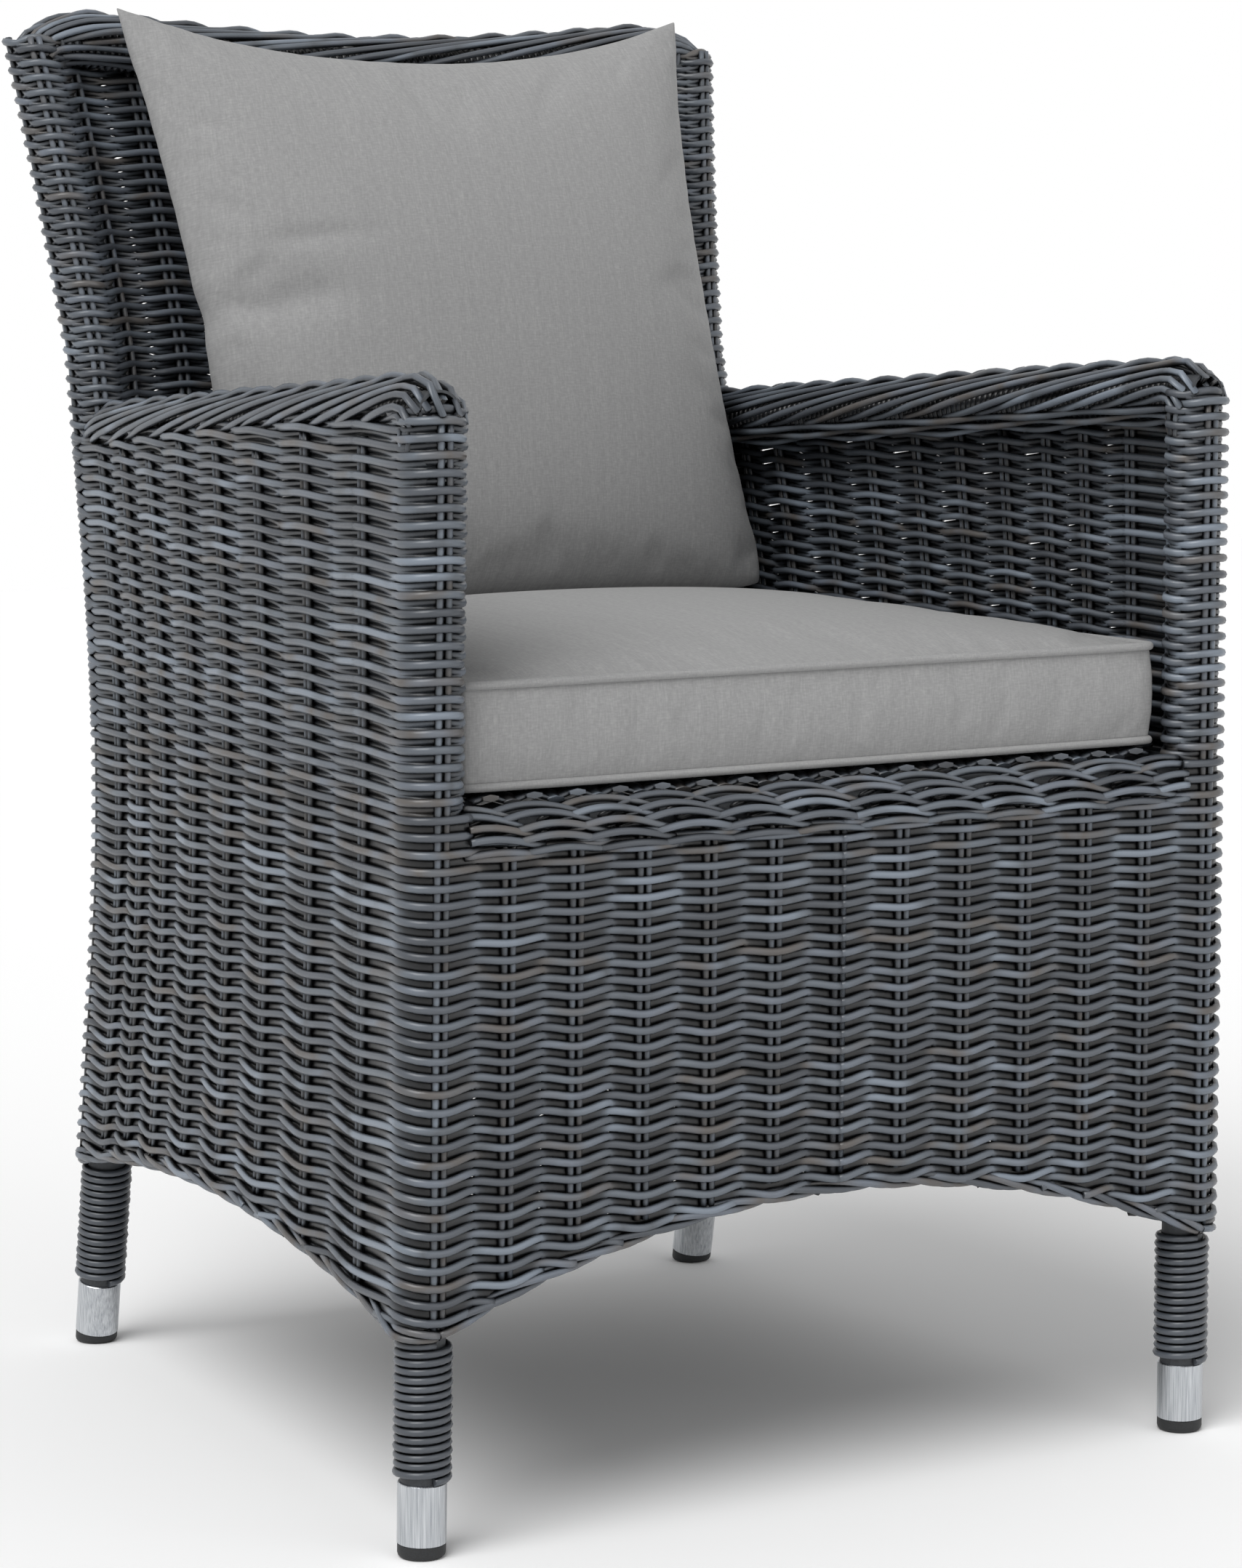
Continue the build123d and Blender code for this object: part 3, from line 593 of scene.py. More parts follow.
def chevron_plait(path, up, low, seed):
    """Strands that climb over a rail from both sides and dive under each other at its crest.

    Strand by strand, the angle round the rail runs from low degrees on one side to a little past the crest
    while the strand moves on by its span; its distance from the rail rises at once, bulges and then sinks.
    Near the rail's ends all of them sink under the posts' rows.
    """
    pick = np.random.default_rng(seed)
    total = run_along(path)[-1]
    share = np.linspace(0, 1, 46)
    sets = []
    for way in (-1, 1):
        start = np.arange(-0.95 * PLAIT_SPAN, total - 0.05 * PLAIT_SPAN, PLAIT_SPACING)
        start = start + (0.5 * PLAIT_SPACING if way > 0 else 0)
        start = start + pick.uniform(-0.14, 0.14, len(start)) * PLAIT_SPACING
        distance = start[:, None] + PLAIT_SPAN * share
        centre, upward, aside = rail_frame(path, distance, up)
        angle = way * np.radians(PLAIT_PAST * share - low * (1 - share))
        angle = angle + pick.uniform(-0.08, 0.08, (len(start), 1))
        lift = -1 + 2 * smooth(share / 0.22) + 0.9 * np.exp(-(((share - 0.70) / 0.05) ** 2))
        lift = lift - 3.0 * smooth((share - 0.72) / 0.22)
        sunk = PLAIT_SINK * (2 - smooth(distance / PLAIT_END) - smooth((total - distance) / PLAIT_END))
        out = np.cos(angle)[..., None] * upward + np.sin(angle)[..., None] * aside
        points = centre + (PLAIT_RING - sunk + PLAIT_LIFT * lift)[..., None] * out
        keep = (distance > 0) & (distance < total)
        sets.append((points, np.gradient(points, axis=1), out, keep, pick.random(len(start))))
    return sets


def rail_rows(path, up, angles, seed):
    """Strands that run along a rail at fixed angles round it and swing out and in by a cosine, in turn."""
    pick = np.random.default_rng(seed)
    distance = np.arange(RAIL_STEP, run_along(path)[-1] - RAIL_ROW_WAVE, RAIL_STEP)
    centre, upward, aside = rail_frame(path, distance, up)
    angle = np.radians(angles)[:, None, None]
    out = np.cos(angle) * upward + np.sin(angle) * aside
    turn = math.pi * (distance / RAIL_ROW_WAVE + np.arange(len(angles))[:, None])
    points = centre + (PLAIT_RING - RAIL_ROW_DEPTH + RAIL_ROW_SWING * np.cos(turn))[..., None] * out
    keep = np.ones(turn.shape, bool)
    return points, np.gradient(points, axis=1), out, keep, pick.random(len(angles))


def winding(path, up, ring, pitch, tint):
    """One strand wound round a path: a helix at a fixed distance, one turn for each pitch."""
    total = run_along(path)[-1]
    turns = total / pitch
    t = np.linspace(0, 1, round(turns * 20))
    centre, upward, aside = rail_frame(path, t * total, up)
    angle = 2 * math.pi * turns * t
    out = np.cos(angle)[:, None] * upward + np.sin(angle)[:, None] * aside
    uneven = 1 + 0.02 * np.sin(0.37 * angle)
    points = centre + ring * uneven[:, None] * out
    keep = np.ones((1, len(t)), bool)
    return points[None], np.gradient(points, axis=0)[None], out[None], keep, np.array([tint])


def twisted(path, out, ring, pitch, strands, seed):
    """Strands laid round each other along a path: each turns about it at a small distance."""
    pick = np.random.default_rng(seed)
    way_on = unit(np.gradient(path, axis=0))
    aside = unit(np.cross(way_on, out))
    outward = np.cross(aside, way_on)
    angle = 2 * math.pi * (run_along(path) / pitch + np.arange(strands)[:, None] / strands)
    lean = np.cos(angle)[..., None] * outward + np.sin(angle)[..., None] * aside
    points = path + ring * lean
    keep = np.ones(angle.shape, bool)
    return points, np.gradient(points, axis=1), lean, keep, pick.random(strands)


def linear(code):
    """Linear colour of an sRGB hex value."""
    channel = np.array([int(code[i : i + 2], 16) for i in (1, 3, 5)]) / 255
    return (*np.where(channel < 0.04045, channel / 12.92, ((channel + 0.055) / 1.055) ** 2.4), 1.0)


def add_node(tree, kind, inputs=None, **settings):
    """Adds a node, sets its properties, and sets or links its inputs by name or number."""
    added = tree.nodes.new(kind)
    for key, value in settings.items():
        setattr(added, key, value)
    for key, value in (inputs or {}).items():
        if isinstance(value, bpy.types.NodeSocket):
            tree.links.new(value, added.inputs[key])
        else:
            added.inputs[key].default_value = value
    return added


def new_material(name):
    """An empty node material: its tree and its Principled shader."""
    material = bpy.data.materials.new(name)
    material.use_nodes = True
    return material, material.node_tree, material.node_tree.nodes["Principled BSDF"]


def ramp(tree, factor, stops):
    """A colour ramp from (place, hex) stops."""
    added = add_node(tree, "ShaderNodeValToRGB", {"Fac": factor})
    band = added.color_ramp
    while len(band.elements) < len(stops):
        band.elements.new(0.5)
    for element, (place, code) in zip(band.elements, stops):
        element.position, element.color = place, linear(code)
    return added.outputs["Color"]


def resin_wicker(name, stops):
    """Extruded resin strand: satin, through-coloured, its slate grey shifting a little from strand to strand.

    Shade is painted into the colour: it deepens towards near-black where neighbours stand close, as ambient
    occlusion finds them, and where a strand's painted shade attribute says that it is hidden behind the stakes.
    """
    material, tree, shader = new_material(name)
    place = add_node(tree, "ShaderNodeTexCoord").outputs["Object"]
    tint = add_node(tree, "ShaderNodeAttribute", attribute_name="tint").outputs["Fac"]
    patch = add_node(tree, "ShaderNodeTexNoise", {"Vector": place, "Scale": 1 / WICKER_PATCH, "Detail": 2.0})
    drift_inputs = {0: patch.outputs["Fac"], 1: 0.9, 2: -0.45}
    drift = add_node(tree, "ShaderNodeMath", drift_inputs, operation="MULTIPLY_ADD").outputs[0]
    pick = add_node(tree, "ShaderNodeMath", {0: tint, 1: drift}, operation="ADD", use_clamp=True).outputs[0]
    colour = ramp(tree, pick, stops)
    # Painted shade: the colour is mixed towards near-black where ambient occlusion finds neighbours close, and
    # further where the strand's attribute marks it hidden behind the stakes
    painted_occlusion_inputs = {"Color": colour, "Distance": PAINTED_SHADE_REACH}
    painted_occlusion = add_node(tree, "ShaderNodeAmbientOcclusion", painted_occlusion_inputs, samples=6)
    painted_openness_inputs = {"Value": painted_occlusion.outputs["AO"], "From Min": 0.32, "From Max": 0.92}
    painted_openness = add_node(tree, "ShaderNodeMapRange", painted_openness_inputs).outputs[0]
    # Painted shade where the strand is hidden behind the stakes, read from its attribute
    inner = add_node(tree, "ShaderNodeAttribute", attribute_name="painted_shade").outputs["Fac"]
    hidden_painted_shade_inputs = {0: inner, 1: -HIDDEN_PAINTED_SHADE, 2: 1.0}
    hidden_painted_shade = add_node(tree, "ShaderNodeMath", hidden_painted_shade_inputs, operation="MULTIPLY_ADD").outputs[0]
    painted_shading = add_node(tree, "ShaderNodeMath", {0: painted_openness, 1: hidden_painted_shade}, operation="MULTIPLY").outputs[0]
    deep_inputs = {"Factor": painted_shading, "A": linear(PAINTED_SHADE_GREY), "B": colour}
    deep = add_node(tree, "ShaderNodeMix", deep_inputs, data_type="RGBA")
    grain_inputs = {"Vector": place, "Scale": 1 / WICKER_GRAIN, "Detail": 3.0}
    grain = add_node(tree, "ShaderNodeTexNoise", grain_inputs).outputs["Fac"]
    rough = add_node(tree, "ShaderNodeMapRange", {"Value": grain, "To Min": 0.26, "To Max": 0.40}).outputs[0]
    bump_inputs = {"Height": grain, "Strength": 0.12, "Distance": 0.0006}
    bump = add_node(tree, "ShaderNodeBump", bump_inputs).outputs[0]
    tree.links.new(deep.outputs["Result"], shader.inputs["Base Color"])
    tree.links.new(rough, shader.inputs["Roughness"])
    tree.links.new(bump, shader.inputs["Normal"])
    return material


def grained(name, size, dark, pale, strength, depth, roughness):
    """A low-gloss finish with a fine grain, which mottles it between two colours and dimples its surface."""
    material, tree, shader = new_material(name)
    place = add_node(tree, "ShaderNodeTexCoord").outputs["Object"]
    grain_inputs = {"Vector": place, "Scale": 1 / size, "Detail": 2.0}
    grain = add_node(tree, "ShaderNodeTexNoise", grain_inputs).outputs["Fac"]
    colour = ramp(tree, grain, [(0.3, dark), (0.7, pale)])
    bump_inputs = {"Height": grain, "Strength": strength, "Distance": depth}
    bump = add_node(tree, "ShaderNodeBump", bump_inputs).outputs[0]
    tree.links.new(colour, shader.inputs["Base Color"])
    tree.links.new(bump, shader.inputs["Normal"])
    shader.inputs["Roughness"].default_value = roughness
    return material


def brushed_aluminium():
    """Brushed aluminium sleeve: bright, with fine upright lines that stretch its reflections sideways."""
    material, tree, shader = new_material("brushed_aluminium")
    place = add_node(tree, "ShaderNodeTexCoord").outputs["Object"]
    thin_inputs = {"Vector": place, "Scale": [1 / size for size in BRUSH_LINE]}
    thin = add_node(tree, "ShaderNodeMapping", thin_inputs).outputs[0]
    line_inputs = {"Vector": thin, "Scale": 1.0, "Detail": 2.0}
    lines = add_node(tree, "ShaderNodeTexNoise", line_inputs).outputs["Fac"]
    colour = ramp(tree, lines, [(0.3, "#a6aaaf"), (0.7, "#d2d5d8")])
    rough = add_node(tree, "ShaderNodeMapRange", {"Value": lines, "To Min": 0.22, "To Max": 0.36}).outputs[0]
    tree.links.new(colour, shader.inputs["Base Color"])
    tree.links.new(rough, shader.inputs["Roughness"])
    shader.inputs["Metallic"].default_value = 1.0
    return material


def heather_cloth():
    """Plain-woven polyester with light and dark yarns mixed: matt, its threads drawn coarse so that they show."""
    material, tree, shader = new_material("heathered_polyester_cloth")
    place = add_node(tree, "ShaderNodeUVMap", uv_map="panel").outputs["UV"]
    mixed = []
    for reach in YARNS:
        scale_inputs = {"Vector": place, "Scale": [1 / size for size in reach]}
        scaled = add_node(tree, "ShaderNodeMapping", scale_inputs).outputs[0]
        noise_inputs = {"Vector": scaled, "Scale": 1.0, "Detail": 2.0}
        mixed.append(add_node(tree, "ShaderNodeTexNoise", noise_inputs).outputs["Fac"])
    threads = add_node(tree, "ShaderNodeMath", {0: mixed[0], 1: mixed[1]}, operation="ADD").outputs[0]
    streak_inputs = {0: mixed[2], 1: 0.5, 2: threads}
    streaked = add_node(tree, "ShaderNodeMath", streak_inputs, operation="MULTIPLY_ADD").outputs[0]
    yarns = add_node(tree, "ShaderNodeMath", {0: streaked, 1: 0.4}, operation="MULTIPLY").outputs[0]
    colour = ramp(tree, yarns, [(0.3, "#868686"), (0.5, "#929292"), (0.7, "#a0a09f")])
    bump_inputs = {"Height": threads, "Strength": 0.15, "Distance": 0.0004}
    bump = add_node(tree, "ShaderNodeBump", bump_inputs).outputs[0]
    tree.links.new(colour, shader.inputs["Base Color"])
    tree.links.new(bump, shader.inputs["Normal"])
    shader.inputs["Roughness"].default_value = 0.9
    shader.inputs["Sheen Weight"].default_value = 0.1
    shader.inputs["Sheen Roughness"].default_value = 0.5
    return material


wicker = resin_wicker("resin_wicker", GREYS)
border_wicker = resin_wicker("resin_wicker_border", GREYS)
tube_finish = grained("powder_coated_tube", 0.0015, "#2e3134", "#3a3d41", 0.15, 0.0003, 0.55)
aluminium = brushed_aluminium()
black_plastic = grained("moulded_black_plastic", 0.001, "#161718", "#222426", 0.2, 0.0002, 0.6)
cloth = heather_cloth()

for name, node_object in nodes.items():
    finish = black_plastic if "foot_cap" in name else aluminium if "ferrule" in name else tube_finish
    node_object.data.materials.clear()
    node_object.data.materials.append(finish)


def weave_piece(name, sets, *replaced, border=False, **shape):
    """A piece of strands on the chair, in the walls' wicker or the borders'."""
    material, slot = (border_wicker, "wicker_border") if border else (wicker, "wicker")
    finish_piece(strand_piece(name, sets, **shape), material, "chair", slot, *replaced)


# Walls
ROW_KINDS = ("skirt", "side", "back")
STAKE_KINDS = ("front", "side", "skirt_back", "back")
rows = {(hand, kind): weave_rows(hand, kind) for hand in HANDS for kind in ROW_KINDS}
stakes = {(hand, kind): stake_rows(hand, kind) for hand in HANDS for kind in STAKE_KINDS}


def span_of(hand, kind, low, high):
    """The rows of one kind between two stations; each runs one step on, thinner, inside the next piece's strand.

    In the skirt a row is pressed taller where it is hidden. Over the seat both faces show, so a row is two
    strands there: one lies inside the other where they are seen, and they spread where they are hidden.
    """
    station, points, along, out, keep, hidden = rows[hand, kind]
    inside = (station > low - 1.5 * STEP) & (station < high + 1.5 * STEP)
    beyond = (station < low - STEP / 2) | (station > high + STEP / 2)
    points, along, out, keep, hidden = [part[:, inside] for part in (points, along, out, keep, hidden)]
    girth = np.where(beyond, OVERLAP_GIRTH, 1.0)[inside] + 0 * hidden
    if kind == "skirt":
        tall = STRAND_TALL + (HIDDEN_TALL - STRAND_TALL) * hidden
        # The hiding also darkens the skirt's hidden strands as painted shade
        return [(points, along, out, keep, row_tint, tall, girth, hidden)]
    spread = HIDDEN_SPREAD * hidden[..., None] * UP
    tall = STRAND_TALL + (SPREAD_TALL - STRAND_TALL) * hidden
    upper = (points + spread, along, out, keep, row_tint, tall, girth)
    lower_girth = girth * (LOWER_GIRTH + (1 - LOWER_GIRTH) * hidden)
    lower = (points - spread, along, out, keep, row_tint, tall, lower_girth)
    return [upper, lower]


def stakes_of(hand, kind):
    """The stakes of one kind, with the paler tints."""
    points, along, out, keep = stakes[hand, kind]
    return points, along, out, keep, np.random.default_rng(17).uniform(0.6, 1.0, len(points))


POST_FROM, POST_TO = FRONT_PAIRS - 1, FRONT_PAIRS + 1
sets = []
for hand in HANDS:
    sets += [*span_of(hand, "skirt", 0, POST_FROM), stakes_of(hand, "front")]
weave_piece("front_weave", sets, "front_woven_panel")
for hand in HANDS:
    rear = side_end(hand)
    sets = span_of(hand, "skirt", POST_FROM, POST_TO) + span_of(hand, "side", FRONT_PAIRS - 2 * TUCK, POST_TO)
    weave_piece(f"front_post_weave_{hand}", sets, f"front_post_cover_{hand}")
    sets = span_of(hand, "skirt", POST_TO, rear) + span_of(hand, "side", POST_TO, rear)
    sets.append(stakes_of(hand, "side"))
    weave_piece(f"side_weave_{hand}", sets, f"woven_panel_{hand}", sides=6)
    sets = span_of(hand, "skirt", rear, rear + 2) + span_of(hand, "side", rear, rear + 2)
    sets += span_of(hand, "back", 0, rear + 2)
    weave_piece(f"rear_post_weave_{hand}", sets, f"rear_post_cover_{hand}", sides=6)
low_sets, high_sets = [], []
for hand in HANDS:
    rear, end = side_end(hand) + 2, last_station(hand)
    low_sets += span_of(hand, "skirt", rear, end) + span_of(hand, "side", rear, end)
    low_sets.append(stakes_of(hand, "skirt_back"))
    high_sets += [*span_of(hand, "back", rear, end), stakes_of(hand, "back")]
weave_piece("back_skirt_weave", low_sets, sides=6)
weave_piece("back_weave", high_sets, "back_woven_panel", sides=6)


def hem_path(hand, low, high, count):
    """Middle of the weave along the hem between two stations, and its outward directions."""
    station = np.linspace(low, high, count)
    middle, out, _, _ = course(station, hem_height(np.interp(station, *stations(hand))), hand)
    return np.stack([middle, out]) * (HANDS[hand], 1, 1)


# Hems: three strands twisted along the arches; the front's and the rear's are joined from their middles outwards
for hand in HANDS:
    path, out = hem_path(hand, FRONT_PAIRS, side_end(hand) + 1, 150)
    sets = [twisted(path, out, HEM_RING, HEM_TWIST, 3, 21)]
    weave_piece(f"hem_twist_{hand}", sets, f"hem_border_{hand}", border=True)
for part in ("front", "rear"):
    halves = []
    for hand in HANDS:
        if part == "front":
            halves.append(hem_path(hand, 0, FRONT_PAIRS, 90))
        else:
            halves.append(hem_path(hand, side_end(hand) + 1, last_station(hand), 90)[:, ::-1])
    path, out = np.concatenate([halves[0][:, ::-1], halves[1][:, 1:]], axis=1)
    sets = [twisted(path, out, HEM_RING, HEM_TWIST, 3, 23)]
    weave_piece(f"hem_twist_{part}", sets, f"{part}_hem_border", border=True)

# Seat front border: over each stake pair five strands arch side by side, and their ends dive under the next arch
fx, fy = front_axis(SEAT_Z)
share = np.linspace(0, 1, 22)
arch = np.sin(math.pi * share)
sets = []
for layer, roll in enumerate(np.radians(BORDER_ROLLS)):
    first = np.arange(-FRONT_PAIRS - 0.3, FRONT_PAIRS - 0.7) + BORDER_STAGGER * layer
    uneven = np.random.default_rng(71 + layer).uniform(-1, 1, (2, len(first), 1))
    station = first[:, None] - 0.35 + BORDER_SPAN * share + 0.06 * uneven[0]
    angle = roll + 0.42 * arch + 0.05 * uneven[1]
    stand = BORDER_STAND + BORDER_ARCH * arch**0.6 - BORDER_DIVE * smooth((share - 0.72) / 0.28)
    out = np.stack([0 * angle, -np.cos(angle), np.sin(angle)], -1)
    axis = np.stack(np.broadcast_arrays(fx / FRONT_PAIRS * station, fy, SEAT_Z - BORDER_DROP), -1)
    points = axis + stand[..., None] * out
    keep = np.abs(station) < FRONT_PAIRS - 0.3
    tint = np.random.default_rng(81 + layer).random(len(first))
    sets.append((points, np.gradient(points, axis=1), out, keep, tint))
weave_piece("seat_front_twist", sets, "seat_front_border", border=True)

# Arms and back top
for hand, sign in HANDS.items():
    fx, fy = front_axis(ARM_FRONT_Z)
    rx, ry = rear_axis(np.array(ARM_REAR_Z))
    controls = [(rx, ry + 0.012, ARM_REAR_Z), (rx, ry, ARM_REAR_Z)]
    mix = np.linspace(0, 1, 9)[1:-1, None]
    controls += list(np.array((rx, ry, ARM_REAR_Z)) * (1 - mix) + np.array((fx, fy, ARM_FRONT_Z)) * mix)
    for ahead, drop in ((-0.012, 0), (0.002, 0.002), (0.004, 0.02), (0.003, 0.045)):
        controls.append((fx, fy - ahead, ARM_FRONT_Z - drop))
    path = rounded(np.array(controls, float) * (sign, 1, 1), 240)
    sets = chevron_plait(path, ARM_LEAN, ARM_PLAIT_LOW, 31 + sign)
    sets.append(rail_rows(path, ARM_LEAN, -sign * ARM_ROWS, 33))
    sets.append(winding(path, ARM_LEAN, CORE_RING, CORE_PITCH, 0.2))
    weave_piece(f"arm_plait_{hand}", sets, f"arm_border_{hand}", border=True, sides=7)
reach = np.linspace(-1, 1, 15)[1:-1] * TOP_HALF
_, top_y = rear_axis(np.array(CORNER_Z))
rail = [(x, top_y - (CORNER_Z - z) * math.tan(RECLINE), z) for x, z in zip(reach, top_rail_z(reach))]
near_corner = [
    (-CORNER_HALF - 0.003, top_y - 0.004, CORNER_Z - 0.018),
    (-CORNER_HALF + 0.004, top_y - 0.001, CORNER_Z - 0.003),
]
controls = near_corner + rail + [(-x, y, z) for x, y, z in reversed(near_corner)]
path = rounded(controls, 320)
up = np.array((0.0, math.sin(RECLINE), math.cos(RECLINE)))
sets = chevron_plait(path, up, TOP_PLAIT_LOW, 41)
sets.append(rail_rows(path, up, TOP_ROWS, 43))
sets.append(winding(path, up, CORE_RING, CORE_PITCH, 0.2))
weave_piece("back_top_plait", sets, "back_top_border", border=True, sides=7)

# Leg windings
heights = np.linspace(*LEG_WRAP, 30)
for hand, sign in HANDS.items():
    for end, axis in (("front", front_axis), ("rear", rear_axis)):
        x, y = axis(heights)
        path = np.stack([sign * x, y, heights], -1)
        sets = [winding(path, (0.0, -1.0, 0.0), LEG_RING, LEG_PITCH, 0.1)]
        weave_piece(f"leg_winding_{end}_{hand}", sets, f"leg_wrap_{end}_{hand}")


def deck_rows(way):
    """One family of the deck's straps: a cosine over and under the other, cut at the walls and the posts."""
    _, fy = front_axis(SEAT_Z)
    _, ry = rear_axis(np.array(SEAT_Z))
    wide, deep = round(DECK_WIDTH / DECK_PITCH), round((ry - fy) / DECK_PITCH)
    fine_x = (np.arange(wide * 4 + 1) / 4 - wide / 2) * DECK_PITCH
    fine_y = fy + np.arange(deep * 4 + 1) / 4 * DECK_PITCH
    if way == "across":
        y, x = np.meshgrid(fine_y[2::4], fine_x, indexing="ij")
        phase = math.pi * (x / DECK_PITCH) + math.pi * np.arange(len(y))[:, None]
    else:
        x, y = np.meshgrid(fine_x[2::4], fine_y, indexing="ij")
        phase = math.pi * (y - fy) / DECK_PITCH + math.pi * np.arange(len(x))[:, None]
    points = np.stack([x, y, DECK_Z + STRAP_SWING * np.cos(phase)], -1)
    reach, half = np.abs(x), side_half(y, SEAT_Z)
    keep = (reach < half + DECK_OVERLAP) & (y > fy - DECK_OVERLAP) & (y < ry - DECK_REAR_ROOM)
    keep &= (reach < half - DECK_POST_ROOM) | ((y > fy + DECK_POST_ROOM) & (y < ry - DECK_POST_ROOM))
    tint = np.random.default_rng(61).random(len(x))
    return points, np.gradient(points, axis=1), UP, keep, tint, STRAP_WIDTH / STRAP_THICK


sets = [deck_rows("across"), deck_rows("along")]
weave_piece("seat_deck_weave", sets, "seat_woven_deck", radius=STRAP_THICK / 2, sides=6)


def panel_grid(across, deep):
    """Parameters of a panel from -1 to 1 both ways, its four-sided faces and the loop round its edge."""
    u, v = np.meshgrid(np.linspace(-1, 1, across), np.linspace(-1, 1, deep), indexing="ij")
    index = np.arange(across * deep).reshape(across, deep)
    quads = np.stack([index[:-1, :-1], index[1:, :-1], index[1:, 1:], index[:-1, 1:]], -1).reshape(-1, 4)
    edge = np.concatenate([index[:-1, 0], index[-1, :-1], index[:0:-1, -1], index[0, :0:-1]])
    return u, v, quads, edge


def rings_grid(rings, closed):
    """Faces between loops of points: each loop is closed, and the last one joins the first where closed is set."""
    ahead = np.roll(rings, -1, axis=1)
    upper, upper_ahead = np.roll(rings, -1, axis=0), np.roll(ahead, -1, axis=0)
    quads = np.stack([rings, ahead, upper_ahead, upper], -1)
    return (quads if closed else quads[:-1]).reshape(-1, 4)


def rings_cloth(run, heights):
    """Places on the cloth of each corner of rings_grid's faces: distance round the loop and height."""
    across = np.stack([run[:-1], run[1:], run[1:], run[:-1]], -1)
    up = np.stack([heights[:-1], heights[:-1], heights[1:], heights[1:]], -1)
    both = np.broadcast_arrays(across[None], up[:, None])
    return np.stack(both, -1).reshape(-1, 2)


def cushion_piece(name, verts, quads, cloth_places):
    """A cushion's mesh from its panels, with each face corner's place on the cloth as its UV map."""
    piece = put_mesh(name, verts, quads, np.zeros((0, 3), int))
    layer = piece.data.uv_layers.new(name="panel")
    layer.data.foreach_set("uv", cloth_places.astype(np.float32).ravel())
    return piece


def inflate(piece, held, cap):
    """Swells a cover as cloth under air pressure with its seams held, each point by the cap at most."""
    group = piece.vertex_groups.new(name="held")
    group.add(held.tolist(), 1.0, "REPLACE")
    air = piece.modifiers.new("air", "CLOTH")
    air.settings.quality = 5
    air.settings.mass = 0.3
    air.settings.tension_stiffness = air.settings.compression_stiffness = 15
    air.settings.shear_stiffness = 5
    air.settings.bending_stiffness = 0.6
    air.settings.shrink_min = -0.012
    air.settings.vertex_group_mass = "held"
    air.settings.use_pressure = True
    air.settings.uniform_pressure_force = AIR_PRESSURE
    air.settings.effector_weights.gravity = 0
    air.collision_settings.use_collision = False
    for frame_number in range(1, AIR_FRAMES + 1):
        scene.frame_set(frame_number)
    rest, moved = np.empty((2, 3 * len(piece.data.vertices)), np.float32)
    piece.data.vertices.foreach_get("co", rest)
    swollen = piece.evaluated_get(bpy.context.evaluated_depsgraph_get()).data
    swollen.vertices.foreach_get("co", moved)
    step = (moved - rest).reshape(-1, 3)
    length = np.linalg.norm(step, axis=1, keepdims=True) + 1e-9
    step = step * np.minimum(1, cap * np.tanh(length / cap) / length)
    piece.modifiers.remove(air)
    piece.vertex_groups.clear()
    piece.data.vertices.foreach_set("co", rest + step.astype(np.float32).ravel())
    piece.data.update()
    scene.frame_set(1)


def finer(piece):
    """One subdivision of a cushion's cover."""
    smoothing = piece.modifiers.new("finer", "SUBSURF")
    smoothing.levels = smoothing.render_levels = 1


